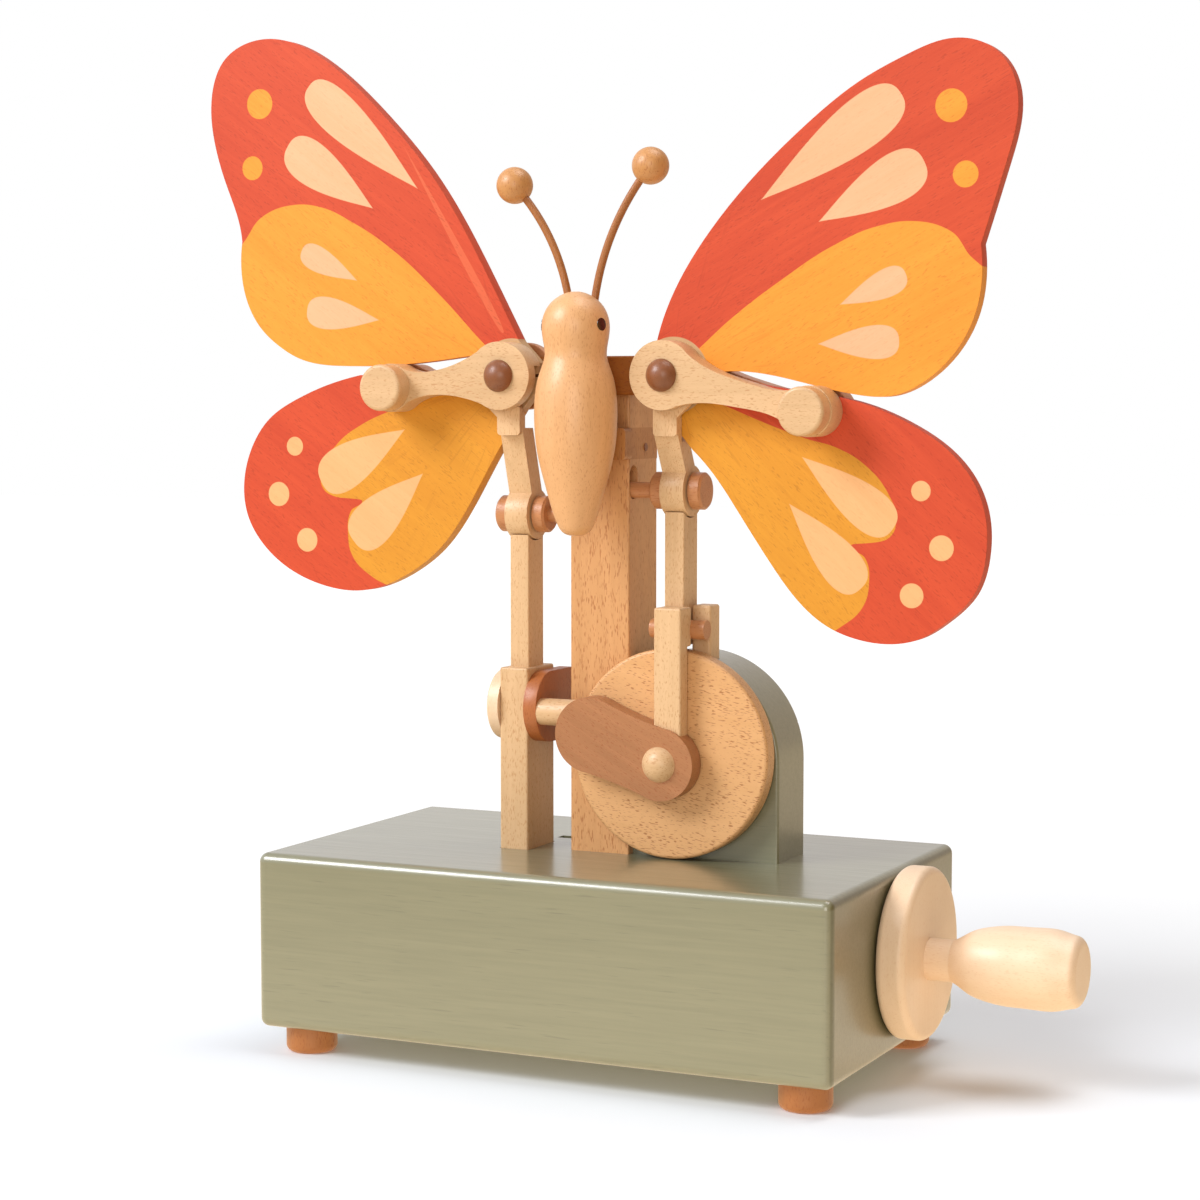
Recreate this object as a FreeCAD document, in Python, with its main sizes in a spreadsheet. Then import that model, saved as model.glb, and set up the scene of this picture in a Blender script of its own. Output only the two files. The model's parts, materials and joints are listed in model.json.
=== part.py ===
"""Wooden butterfly automaton: turning the crank lifts and lowers the wings.

Millimetres. The origin lies on the table under the middle of the base, +X to the crank, +Y to the back, +Z up.
"""
import FreeCAD, Part
import math
import os
import re

from FreeCAD import Rotation, Vector

# ---------------------------------------------------------------- driving sizes
SIZES = {
    # base box, its bottom cover and feet
    "base_width": 200.0, "base_depth": 116.0, "base_height": 57.5, "base_round": 3.0,
    "base_wall": 8.0, "cover_thick": 5.0, "cover_gap": 0.2, "screw_radius": 1.1,
    "screw_head": 2.2, "screw_head_depth": 1.2, "screw_length": 14.0,
    "rebate_wall": 3.0, "foot_height": 9.0, "foot_radius": 8.4, "foot_inset": 12.8, "foot_round": 2.2,
    "foot_peg": 3.0, "vent_left": 25.2, "vent_length": 11.0, "vent_front": 12.5, "vent_width": 4.4,
    # crank: disc, handle, shaft and its friction wheel
    "crank_back": 5.0, "crank_radius": 27.4, "crank_thick": 9.6,
    "crank_gap": 0.4, "crank_round": 2.4, "crank_socket": 5.0, "shaft_radius": 4.0, "fit": 0.05,
    "handle_forward": 1.6, "handle_drop": 1.3, "stem_radius": 6.7, "stem_length": 8.0,
    "grip_radius": 12.6, "grip_length": 41.3, "grip_end": 11.4, "grip_round": 3.4,
    "collar_radius": 7.5, "collar_thick": 3.4, "collar_gap": 0.3,
    "driver_radius": 14.0, "driver_thick": 6.0,
    "bearing_thick": 6.0, "bearing_width": 20.0, "bearing_above": 7.0, "bearing_reach": 5.4,
    # upright spindle: a friction disc on the crank's wheel, a roller behind the big wheel
    "contact_gap": 0.3, "spindle_radius": 3.0, "contact_radius": 17.5, "platter_radius": 22.0,
    "platter_thick": 3.6, "platter_gap": 0.6, "roller_thick": 6.0, "roller_below": 16.64, "step_height": 7.0,
    "step_radius": 5.0, "spindle_above": 2.0, "pocket_gap": 0.6,
    # arch block and big wheel
    "wheel_x": 27.2, "wheel_radius": 33.9, "wheel_thick": 7.0, "wheel_back": 5.7, "wheel_lift": 0.3,
    "wheel_chamfer": 1.2, "arch_front": 5.2, "arch_depth": 23.0, "arch_margin": 0.8, "arch_round": 1.0,
    "arch_drop": 2.8,
    "crank_pin_radius": 2.0, "throw": 2.5, "hub_depth": 4.8, "dowel_radius": 3.0, "dowel_length": 14.0,
    "guide_width": 6.6, "guide_depth": 8.0, "guide_height": 19.2, "guide_gap": 0.5, "guide_seat": 3.4,
    "guide_round": 0.9,
    # post, its head and the cross beam; sizes that end in "above" count up from the top of the
    # base, and the ones that end in "below" or "rise" from the height of the wing hinges
    "post_x": 0.5, "post_width": 21.0, "post_depth": 22.0, "post_front": 8.4, "post_round": 0.6,
    "post_dowel_reach": 8.0, "beam_height": 12.6, "beam_front": 13.0,
    "beam_round": 0.8, "beam_half": 17.2, "tongue_front": 8.3, "tongue_thick": 3.8,
    "plug_bore": 1.3, "plug_depth": 6.0, "plug_back": 4.3,
    # butterfly body, antennae and eyes
    "body_forward": 26.0, "body_below": 50.8, "body_height": 77.2, "belly_radius": 13.2,
    "neck_radius": 9.9, "head_radius": 10.8, "tail_radius": 6.2, "saddle_width": 23.4,
    "saddle_height": 10.2, "saddle_below": 21.8, "saddle_depth": 5.6, "saddle_round": 1.6,
    "antenna_radius": 1.25, "antenna_forward": 21.5, "antenna_foot": 4.2, "antenna_spread": 23.9,
    "left_ball_rise": 60.8, "right_ball_rise": 65.4, "antenna_bow": 4.0, "antenna_bury": 5.0,
    "ball_radius": 5.9, "eye_radius": 2.0, "eye_proud": 0.15,
    # hinge of each wing: hub plate, strap, leg, wing, tongue, rear plate, from front to back
    "hinge_x": 28.8, "hinge_above": 155.3, "hub_radius": 11.0, "hub_front": 23.0, "hub_thick": 4.8,
    "layer_gap": 0.3, "strap_thick": 2.0, "wing_thick": 5.0, "rear_thick": 3.5, "pivot_radius": 2.2,
    "dome_radius": 5.2, "dome_height": 3.4, "washer_thick": 1.8,
    "knob_radius": 7.6, "knob_height": 7.0, "knob_dowel": 3.0, "arm_end": 7.9, "arm_waist": 4.0,
    "arm_neck": 5.8, "link_clear": 13.5, "boss_rise": 3.2, "wing_scale": 1.0,
    "left_knob_x": 40.4, "left_knob_drop": 3.8, "right_knob_x": 49.2, "right_knob_drop": 11.2,
    # links: each hangs on a short pin beside the hinge and ends in a barrel on the rod's pin
    "lift_radius": 8.0, "lift_drop": 2.5, "lift_pin": 1.4, "lift_bury": 2.0, "strap_half": 2.8,
    "strap_low": 13.3, "strap_top": 9.5, "strap_end": 19.2, "strap_round": 1.3,
    "leg_width": 8.2, "leg_deep": 7.3, "leg_lead": 2.2, "left_bend": 16.9, "right_bend": 17.1,
    "wing_clear": 0.8, "barrel_radius": 8.2, "left_knuckle_below": 45.2, "right_knuckle_below": 36.8,
    "knuckle_radius": 2.6, "knuckle_gap": 0.3, "knuckle_head": 6.0, "knuckle_thick": 4.2,
    "knuckle_edge": 0.7, "knuckle_play": 0.6, "slider_radius": 2.6, "slot_depth": 3.0, "slot_gap": 0.4,
    "tongue_width": 2.4, "tongue_half": 4.0, "tongue_gap": 0.7, "cradle_gap": 0.5,
    # yoke: the frame that slides up and down
    "rod_x": 27.8, "rod_width": 6.8, "rod_depth": 11.0, "rod_centre": 4.8, "rod_round": 0.5,
    "block_width": 10.2, "block_depth": 19.6, "block_above": 59.9, "block_reach": 32.5,
    "block_gap": 0.25, "block_round": 0.7, "rod_tenon": 9.0,
    "axle_gap": 0.5, "axle_radius": 3.5, "cap_radius": 11.6, "cap_thick": 4.2, "cap_round": 0.8,
    "cheek_radius": 11.7, "cheek_thick": 4.6, "cheek_forward": 6.2, "cheek_back": 9.2,
    "bar_radius": 4.4, "bar_forward": 13.4, "bar_drop": 1.0, "bar_socket": 2.5, "bar_gap": 0.3,
    "arm_front": 20.3, "arm_back": 13.2, "arm_left_x": 2.4, "arm_left_drop": 6.0,
    "arm_left_radius": 12.2, "arm_right_radius": 11.7, "arm_right_x": 26.8, "yoke_waist": 11.3,
    "pocket_depth": 4.1, "plug_radius": 5.7, "plug_height": 3.4, "plug_tenon": 1.4,
    "pocket_half_width": 5.0, "pocket_half_height": 7.5,
    "lower_x": 29.2, "lower_width": 9.4, "lower_front": 19.0, "lap_gap": 3.0, "lap_height": 12.6,
    "lower_round": 0.7, "lap_pin_radius": 3.1, "lap_pin_length": 19.4, "lap_pin_rise": 5.2,
    "lap_pin_forward": 8.6,
}

doc = FreeCAD.newDocument("butterfly_automaton")
sheet = doc.addObject("Spreadsheet::Sheet", "sizes")
LEVELS = {"hinge_height": "foot_height + base_height + hinge_above",
          "block_top": "foot_height + base_height + block_above",
          "left_knuckle": "hinge_height - left_knuckle_below", "right_knuckle": "hinge_height - right_knuckle_below",
          "saddle_level": "hinge_height - saddle_below", "body_bottom": "hinge_height - body_below",
          "left_ball": "hinge_height + left_ball_rise", "right_ball": "hinge_height + right_ball_rise"}
ROWS = SIZES | {level: "=" + place for level, place in LEVELS.items()}
for row, (word, content) in enumerate(ROWS.items(), start=1):
    sheet.set(f"A{row}", word)
    sheet.set(f"B{row}", str(content))
    sheet.setAlias(f"B{row}", word)
doc.recompute()


def size(word):
    """The number that the sheet holds for a size or a level."""
    return float(sheet.get(word))


def value(text):
    """The number that a formula gives."""
    sheet.set("D1", "=" + text)
    sheet.recompute()
    number = float(sheet.get("D1"))
    sheet.clear("D1")
    return number


# ---------------------------------------------------------------- places worked out from the sizes
BASE_TOP = "(foot_height + base_height)"
CEILING = f"({BASE_TOP} - base_wall)"
FLOOR = "(foot_height + cover_thick)"
CRANK_Z = f"({CEILING} - platter_gap - platter_thick - contact_gap - driver_radius)"
WALL_X = "(base_width / 2)"
WHEEL_Z = f"({BASE_TOP} + wheel_lift + wheel_radius)"
WHEEL_FRONT = "(-wheel_back - wheel_thick)"
ARCH_RADIUS = "(wheel_radius + arch_margin)"
ARCH_REAR = "(arch_depth - arch_front)"
ARCH_Z = f"({WHEEL_Z} - arch_drop)"
ARCH_TOP = f"({ARCH_Z} + {ARCH_RADIUS})"
ROLLER_Z = f"({WHEEL_Z} - roller_below)"
ROLLER_RADIUS = "(crank_back + wheel_back - contact_gap)"
DRIVER_X = "(wheel_x + contact_radius)"
PLATTER_Z = f"({CEILING} - platter_gap - platter_thick)"
PIN_Z = f"({WHEEL_Z} - throw)"
POST_LEFT = "(post_x - post_width / 2)"
POST_RIGHT = "(post_x + post_width / 2)"
POST_REAR = "(post_depth - post_front)"
POST_TOP = "(hinge_height + beam_height / 2)"
SADDLE_LOW, SADDLE_TOP = "(saddle_level - saddle_height / 2)", "(saddle_level + saddle_height / 2)"
HUB_BACK = "(hub_thick - hub_front)"
STRAP_FRONT = f"({HUB_BACK} + layer_gap)"
LEG_FRONT = f"({STRAP_FRONT} + strap_thick)"
LEG_BACK = f"({LEG_FRONT} + strap_thick)"
WING_FRONT = f"({LEG_BACK} + layer_gap)"
WING_BACK = f"({WING_FRONT} + wing_thick)"
REAR_FRONT = "(tongue_thick - tongue_front + layer_gap)"
REAR_BACK = f"({REAR_FRONT} + rear_thick)"
TRAVEL = "(2 * throw)"


# ---------------------------------------------------------------- helpers
def formula(text):
    """Turn size words into references to the sheet."""
    return re.sub(r"[a-z][a-z_]*", lambda found: "sizes." + found[0] if found[0] in ROWS else found[0], text)


def bind(thing, **settings):
    """Bind properties to formulas; two underlines in a name stand for a dot."""
    for name, text in settings.items():
        thing.setExpression(name.replace("__", "."), formula(text))
    return thing


def place(thing, x="0", y="0", z="0"):
    return bind(thing, Placement__Base__x=x, Placement__Base__y=y, Placement__Base__z=z)


def block(name, x, y, z):
    """A box between two formulas along each axis."""
    box = doc.addObject("Part::Box", name)
    bind(box, Length=f"{x[1]} - ({x[0]})", Width=f"{y[1]} - ({y[0]})", Height=f"{z[1]} - ({z[0]})")
    return place(box, x[0], y[0], z[0])


TURN = {"X": Rotation(Vector(0, 1, 0), 90), "Y": Rotation(Vector(1, 0, 0), -90), "Z": Rotation()}


def point_on(axis, along, across):
    """Coordinates of a point from its place along an axis and its two places across it, in X, Y, Z order."""
    first, second = across
    return {"X": (along, first, second), "Y": (first, along, second), "Z": (first, second, along)}[axis]


def cylinder(name, axis, across, start, end, radius):
    round_bar = doc.addObject("Part::Cylinder", name)
    round_bar.Placement = FreeCAD.Placement(Vector(), TURN[axis])
    bind(round_bar, Radius=radius, Height=f"{end} - ({start})")
    return place(round_bar, *point_on(axis, start, across))


def cut(name, base, *tools):
    result = doc.addObject("Part::Cut", name)
    result.Base = base
    result.Tool = tools[0] if len(tools) == 1 else fuse(name + "_tools", *tools)
    return result


def fuse(name, *things):
    result = doc.addObject("Part::MultiFuse", name)
    result.Shapes = list(things)
    result.Refine = True
    return result


def soften(name, base, radius, wanted):
    """Round the edges of a solid that a test picks out."""
    doc.recompute()
    result = doc.addObject("Part::Fillet", name)
    result.Base = base
    picked = [i for i, edge in enumerate(base.Shape.Edges, start=1) if wanted(edge)]
    result.Edges = [(i, size(radius), size(radius)) for i in picked]
    return result


def runs_along(axis):
    """A test for straight edges along an axis."""
    def test(edge):
        return edge.Curve.TypeId == "Part::GeomLine" and abs(getattr(edge.Curve.Direction, axis.lower())) > 0.99
    return test


def every_edge(edge):
    return True


def solid(name, shape):
    feature = doc.addObject("Part::Feature", name)
    feature.Shape = shape
    return feature


def turned(name, axis, across, along, profile):
    """A turned piece. The profile is a list of (along, radius) points; a list inside it is a smooth curve."""
    edges, last = [], Vector(0, 0, profile[0][0])
    for step in profile:
        if isinstance(step, list):
            points = [last] + [Vector(radius, 0, place_along) for place_along, radius in step]
            curve = Part.BSplineCurve()
            curve.interpolate(points)
            edges.append(curve.toShape())
            last = points[-1]
        else:
            corner = Vector(step[1], 0, step[0])
            if (corner - last).Length > 1e-6:
                edges.append(Part.makeLine(last, corner))
            last = corner
    if last.x > 1e-6:
        foot = Vector(0, 0, last.z)
        edges.append(Part.makeLine(last, foot))
        last = foot
    edges.append(Part.makeLine(last, Vector(0, 0, profile[0][0])))
    shape = Part.Face(Part.Wire(edges)).revolve(Vector(), Vector(0, 0, 1), 360)
    feature = solid(name, Part.Solid(shape.Shells[0]))
    feature.Placement = FreeCAD.Placement(Vector(), TURN[axis])
    return place(feature, *point_on(axis, along, across))


def rounded_end(along, radius, corner, way=1):
    """Profile points of a turned corner: a quarter circle of the given radius, in the direction of travel."""
    quarter = [math.radians(angle) for angle in (30, 60, 90)]
    if way > 0:
        return [(along - corner, radius),
                [(along - corner + corner * math.sin(a), radius - corner + corner * math.cos(a)) for a in quarter]]
    return [(along, radius - corner),
            [(along + corner - corner * math.cos(a), radius - corner + corner * math.sin(a)) for a in quarter]]


def dome(name, axis, across, along, radius, height, tenon_radius, tenon):
    """A domed plug: a low dome that points against the axis, on a tenon."""
    sphere = (radius ** 2 + height ** 2) / (2 * height)
    lean = math.asin(radius / sphere)
    arc = [(sphere * (1 - math.cos(lean * share)) - height, sphere * math.sin(lean * share))
           for share in (0.25, 0.5, 0.75, 1)]
    profile = [(-height, 0.0), arc, (0.0, radius)]
    if tenon > 0:
        profile += [(0.0, tenon_radius), (tenon, tenon_radius)]
    return turned(name, axis, across, along, profile)


pieces = {}


def piece(node, thing):
    """Name a finished sub-part."""
    thing.Label = node
    pieces[node] = thing
    return thing


# ---------------------------------------------------------------- base
outer = soften("base_outer_soft", block("base_outer", x=("-base_width / 2", "base_width / 2"),
                                        y=("-base_depth / 2", "base_depth / 2"), z=("foot_height", BASE_TOP)),
               "base_round", every_edge)
INSIDE_X, INSIDE_Y = "(base_width / 2 - base_wall)", "(base_depth / 2 - base_wall)"
REBATE_X, REBATE_Y = "(base_width / 2 - rebate_wall)", "(base_depth / 2 - rebate_wall)"
hollow = block("base_hollow", (f"-{INSIDE_X}", INSIDE_X), (f"-{INSIDE_Y}", INSIDE_Y), ("foot_height", CEILING))
rebate = block("cover_rebate", (f"-{REBATE_X}", REBATE_X), (f"-{REBATE_Y}", REBATE_Y), ("foot_height", FLOOR))
crank_bore = cylinder("crank_bore", "X", ("crank_back", CRANK_Z), f"({INSIDE_X} - 1)", f"({WALL_X} + 1)",
                      "shaft_radius + fit")
THROUGH_TOP = (f"({CEILING} - 1)", f"({BASE_TOP} + 1)")
block_slot = block("block_slot", ("-rod_x - block_width / 2 - block_gap", "-rod_x + block_width / 2 + block_gap"),
                   ("-rod_centre - block_depth / 2 - block_gap", "-rod_centre + block_depth / 2 + block_gap"),
                   THROUGH_TOP)
spindle_bore = cylinder("spindle_bore", "Z", ("wheel_x", "crank_back"), *THROUGH_TOP, "spindle_radius + fit")
post_mortise = block("post_mortise", (POST_LEFT, POST_RIGHT), ("-post_front", POST_REAR), THROUGH_TOP)
vent = block("vent", ("-vent_left", "vent_length - vent_left"), ("vent_front", "vent_front + vent_width"), THROUGH_TOP)
ARCH_DOWELS = [("(wheel_x - wheel_radius / 3)", f"({ARCH_REAR} - arch_depth / 2)"),
               ("(wheel_x + 2 * wheel_radius / 3)", f"({ARCH_REAR} - arch_depth / 2)")]
DOWEL_Z = (f"({BASE_TOP} - dowel_length / 2)", f"({BASE_TOP} + dowel_length / 2)")
dowel_holes = [cylinder(f"base_dowel_hole_{n}", "Z", across, *DOWEL_Z, "dowel_radius")
               for n, across in enumerate(ARCH_DOWELS)]
SCREW_X, SCREW_Y = f"({REBATE_X} + {INSIDE_X}) / 2", "(base_depth / 4)"
CORNERS = [(sx, sy) for sx in ("-1", "1") for sy in ("-1", "1")]
SCREWS = [(f"({sx} * {SCREW_X})", f"({sy} * {SCREW_Y})") for sx, sy in CORNERS]
screw_holes = [cylinder(f"base_screw_hole_{n}", "Z", across, "foot_height", "foot_height + screw_length",
                        "screw_radius") for n, across in enumerate(SCREWS)]
piece("base_shell", cut("base_shell_cut", outer, hollow, rebate, crank_bore, block_slot, spindle_bore,
                        post_mortise, vent, *dowel_holes, *screw_holes))

FEET = [(f"({sx} * (base_width / 2 - foot_inset))", f"({sy} * (base_depth / 2 - foot_inset))")
        for sx, sy in CORNERS]
feet = []
for n, across in enumerate(FEET):
    foot_profile = [(0.0, 0.0), (0.0, size("foot_radius") - size("foot_round")),
                    rounded_end(0.0, size("foot_radius"), size("foot_round"), way=-1)[1],
                    (size("foot_height"), size("foot_radius")), (size("foot_height"), size("foot_peg")),
                    (size("foot_height") + size("cover_thick"), size("foot_peg"))]
    feet.append(turned(f"foot_{n}", "Z", across, "0", foot_profile))
piece("feet", fuse("feet_group", *feet))

plate = block("cover_plate", (f"cover_gap - {REBATE_X}", f"{REBATE_X} - cover_gap"),
              (f"cover_gap - {REBATE_Y}", f"{REBATE_Y} - cover_gap"), ("foot_height", FLOOR))
peg_holes = [cylinder(f"peg_hole_{n}", "Z", across, "foot_height - 1", f"{FLOOR} + 1", "foot_peg")
             for n, across in enumerate(FEET)]
shank_holes = [cylinder(f"shank_hole_{n}", "Z", across, "foot_height", FLOOR, "screw_radius")
               for n, across in enumerate(SCREWS)]
head_holes = [cylinder(f"head_hole_{n}", "Z", across, "foot_height", "foot_height + screw_head_depth",
                       "screw_head") for n, across in enumerate(SCREWS)]
piece("base_cover", cut("base_cover_cut", plate, *peg_holes, *shank_holes, *head_holes))
screws = []
for n, across in enumerate(SCREWS):
    shank = cylinder(f"screw_shank_{n}", "Z", across, "foot_height", "foot_height + screw_length", "screw_radius")
    head = cylinder(f"screw_head_{n}", "Z", across, "foot_height", "foot_height + screw_head_depth", "screw_head")
    screws.append(fuse(f"screw_{n}", shank, head))
piece("cover_screws", fuse("cover_screw_group", *screws))

# ---------------------------------------------------------------- crank and the friction wheel on its shaft
DISC_X = f"({WALL_X} + crank_gap)"
disc_profile = [(0.0, 0.0), (0.0, size("crank_radius") - size("crank_round")),
                rounded_end(0.0, size("crank_radius"), size("crank_round"), way=-1)[1],
                *rounded_end(size("crank_thick"), size("crank_radius"), size("crank_round"))]
disc_body = turned("crank_disc_body", "X", ("crank_back", CRANK_Z), DISC_X, disc_profile)
shaft_socket = cylinder("shaft_socket", "X", ("crank_back", CRANK_Z), f"{DISC_X} - 1", f"{DISC_X} + crank_socket",
                        "shaft_radius")
piece("crank_disc", cut("crank_disc_cut", disc_body, shaft_socket))

grip_start, grip_stop = size("stem_length"), size("stem_length") + size("grip_length")
swell = size("grip_radius")
flare = [(grip_start + share * size("grip_length"), size("stem_radius") + rise * (swell - size("stem_radius")))
         for share, rise in ((0.06, 0.22), (0.14, 0.55), (0.27, 0.83), (0.42, 0.98), (0.58, 1.0))]
taper = [(grip_stop - 2 * size("grip_round"), (swell + size("grip_end")) / 2 + 0.3)]
tip = [(grip_stop - size("grip_round") * (1 - math.sin(a)), size("grip_end") - size("grip_round") * (1 - math.cos(a)))
       for a in (0, math.radians(30), math.radians(60), math.radians(90))]
handle_profile = [(0.0, 0.0), (0.0, size("stem_radius")), (grip_start, size("stem_radius")), flare + taper + tip]
piece("crank_handle", turned("crank_handle_body", "X", ("crank_back - handle_forward", f"({CRANK_Z} - handle_drop)"),
                             f"({DISC_X} + crank_thick)", handle_profile))

BEARING_X = "(wheel_x + bearing_reach)"
piece("crank_shaft", cylinder("crank_shaft_bar", "X", ("crank_back", CRANK_Z), BEARING_X,
                              f"({DISC_X} + crank_socket)", "shaft_radius"))
COLLAR_X = f"({INSIDE_X} - collar_gap - collar_thick)"
collar = cylinder("shaft_collar_body", "X", ("crank_back", CRANK_Z), COLLAR_X, f"({COLLAR_X} + collar_thick)",
                  "collar_radius")
piece("shaft_collar", cut("shaft_collar_cut", collar, cylinder("collar_bore", "X", ("crank_back", CRANK_Z),
                                                                f"({COLLAR_X} - 1)", WALL_X, "shaft_radius")))
DRIVER = (f"({DRIVER_X} - driver_thick / 2)", f"({DRIVER_X} + driver_thick / 2)")
driver_bore = cylinder("driver_bore", "X", ("crank_back", CRANK_Z), *DRIVER, "shaft_radius")
driver_body = cylinder("driver_body", "X", ("crank_back", CRANK_Z), *DRIVER, "driver_radius")
piece("drive_wheel", cut("drive_wheel_cut", driver_body, driver_bore))
bearing = block("bearing_body", (BEARING_X, f"({BEARING_X} + bearing_thick)"),
                ("crank_back - bearing_width / 2", "crank_back + bearing_width / 2"),
                (FLOOR, f"({CRANK_Z} + bearing_above)"))
bearing_bore = cylinder("bearing_bore", "X", ("crank_back", CRANK_Z), BEARING_X, f"({BEARING_X} + bearing_thick)",
                        "shaft_radius + fit")
piece("shaft_bearing", cut("shaft_bearing_cut", bearing, bearing_bore))

# ---------------------------------------------------------------- upright spindle
SPINDLE = ("wheel_x", "crank_back")
STEP_BOTTOM = f"({FLOOR} + step_height / 3)"
step_body = cylinder("step_body", "Z", SPINDLE, FLOOR, f"({FLOOR} + step_height)", "step_radius")
step_bore = cylinder("step_bore", "Z", SPINDLE, STEP_BOTTOM, f"({FLOOR} + step_height)", "spindle_radius + fit")
piece("spindle_step", cut("spindle_step_cut", step_body, step_bore))
SPINDLE_TOP = f"({ROLLER_Z} + roller_thick / 2 + spindle_above)"
piece("spindle", cylinder("spindle_bar", "Z", SPINDLE, f"({STEP_BOTTOM} + layer_gap)", SPINDLE_TOP,
                          "spindle_radius"))
PLATTER = (PLATTER_Z, f"({PLATTER_Z} + platter_thick)")
platter_bore = cylinder("platter_bore", "Z", SPINDLE, *PLATTER, "spindle_radius")
piece("friction_platter", cut("platter_cut", cylinder("platter_body", "Z", SPINDLE, *PLATTER, "platter_radius"),
                              platter_bore))
ROLLER = (f"({ROLLER_Z} - roller_thick / 2)", f"({ROLLER_Z} + roller_thick / 2)")
roller_bore = cylinder("roller_bore", "Z", SPINDLE, *ROLLER, "spindle_radius")
piece("friction_roller", cut("roller_cut", cylinder("roller_body", "Z", SPINDLE, *ROLLER, ROLLER_RADIUS),
                             roller_bore))

# ---------------------------------------------------------------- arch block and guide block
ARCH_Y = ("-arch_front", ARCH_REAR)
arch_block = block("arch_lower", ("wheel_x", f"(wheel_x + {ARCH_RADIUS})"), ARCH_Y, (BASE_TOP, ARCH_Z))
arch_left = block("arch_left", (POST_RIGHT, "wheel_x"), ARCH_Y, (BASE_TOP, ARCH_Z))
arch_head = cylinder("arch_head", "Y", ("wheel_x", ARCH_Z), *ARCH_Y, ARCH_RADIUS)
arch_bounds = block("arch_bounds", (POST_RIGHT, f"(wheel_x + {ARCH_RADIUS})"), ARCH_Y,
                    (BASE_TOP, ARCH_TOP))
arch_form = doc.addObject("Part::MultiCommon", "arch_form")
arch_form.Shapes = [fuse("arch_sum", arch_block, arch_left, arch_head), arch_bounds]
arch_form.Refine = True


def on_arch_rim(edge):
    """The long rounded edges that run up the right side and over the top."""
    box = edge.BoundBox
    flat = box.YMax - box.YMin < 0.01
    right = size("wheel_x") + size("wheel_radius") + size("arch_margin")
    straight = abs(box.XMin - right) < 0.01 and box.XMax - box.XMin < 0.01
    return flat and (straight or edge.Curve.TypeId == "Part::GeomCircle")


arch_soft = soften("arch_soft", arch_form, "arch_round", on_arch_rim)
POCKET_RADIUS = f"({ROLLER_RADIUS} + pocket_gap)"
POCKET_Z = (f"({ROLLER[0]} - pocket_gap)", f"({ROLLER[1]} + pocket_gap)")
pocket_round = cylinder("roller_pocket", "Z", SPINDLE, *POCKET_Z, POCKET_RADIUS)
pocket_mouth = block("roller_mouth", (f"(wheel_x - {POCKET_RADIUS})", f"(wheel_x + {POCKET_RADIUS})"),
                     ("-arch_front - 1", "crank_back"), POCKET_Z)
arch_spindle = cylinder("arch_spindle_bore", "Z", SPINDLE, BASE_TOP, f"({SPINDLE_TOP} + pocket_gap)",
                        "spindle_radius + fit")
arch_axle = cylinder("arch_axle_bore", "Y", ("wheel_x", WHEEL_Z), "-arch_front - 1", f"({ARCH_REAR} + 1)",
                     "shaft_radius + fit")
arch_holes = [cylinder(f"arch_dowel_hole_{n}", "Z", across, *DOWEL_Z, "dowel_radius")
              for n, across in enumerate(ARCH_DOWELS)]
GUIDE_X = "(rod_x + rod_width / 2 + guide_gap)"
GUIDE_Z = f"({ARCH_TOP} - guide_seat)"
guide = block("guide_body", (GUIDE_X, f"({GUIDE_X} + guide_width)"), ("-arch_front", "guide_depth - arch_front"),
              (GUIDE_Z, f"({GUIDE_Z} + guide_height)"))
piece("arch_block", cut("arch_cut", arch_soft, pocket_round, pocket_mouth, arch_spindle, arch_axle, guide,
                        *arch_holes))


def above_arch(edge):
    """The edges of the guide block that stand clear of the arch."""
    return edge.BoundBox.ZMax > value(f"{ARCH_TOP} + guide_seat")


piece("guide_block", soften("guide_soft", guide, "guide_round", above_arch))

# ---------------------------------------------------------------- big wheel
wheel_profile = [(0.0, 0.0), (0.0, size("wheel_radius") - size("wheel_chamfer")),
                 rounded_end(0.0, size("wheel_radius"), size("wheel_chamfer"), way=-1)[1],
                 *rounded_end(size("wheel_thick"), size("wheel_radius"), size("wheel_chamfer"))]
wheel_body = turned("wheel_body", "Y", ("wheel_x", WHEEL_Z), WHEEL_FRONT, wheel_profile)
HUB_Y = "(-wheel_back - hub_depth)"
hub_bore = cylinder("wheel_hub_bore", "Y", ("wheel_x", WHEEL_Z), HUB_Y, "-wheel_back + 1", "shaft_radius")
pin_hole = cylinder("wheel_pin_hole", "Y", ("wheel_x", PIN_Z), f"({WHEEL_FRONT} - 1)", HUB_Y, "crank_pin_radius")
piece("big_wheel", cut("wheel_cut", wheel_body, hub_bore, pin_hole))
REAR_COLLAR = f"({ARCH_REAR} + collar_gap)"
piece("wheel_shaft", cylinder("wheel_shaft_bar", "Y", ("wheel_x", WHEEL_Z), HUB_Y,
                              f"({REAR_COLLAR} + collar_thick)", "shaft_radius"))
rear_collar_body = turned("rear_collar_body", "Y", ("wheel_x", WHEEL_Z), REAR_COLLAR,
                          [(0.0, 0.0), (0.0, size("collar_radius")),
                           *rounded_end(size("collar_thick"), size("collar_radius"), size("wheel_chamfer"))])
piece("wheel_collar", cut("wheel_collar_cut", rear_collar_body,
                          cylinder("rear_collar_bore", "Y", ("wheel_x", WHEEL_Z), REAR_COLLAR,
                                   f"({REAR_COLLAR} + collar_thick + 1)", "shaft_radius")))
POCKET_FLOOR = "(pocket_depth + arm_back)"
piece("wheel_pin", cylinder("wheel_pin_bar", "Y", ("wheel_x", PIN_Z), f"(layer_gap - {POCKET_FLOOR})", HUB_Y,
                            "crank_pin_radius"))

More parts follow.
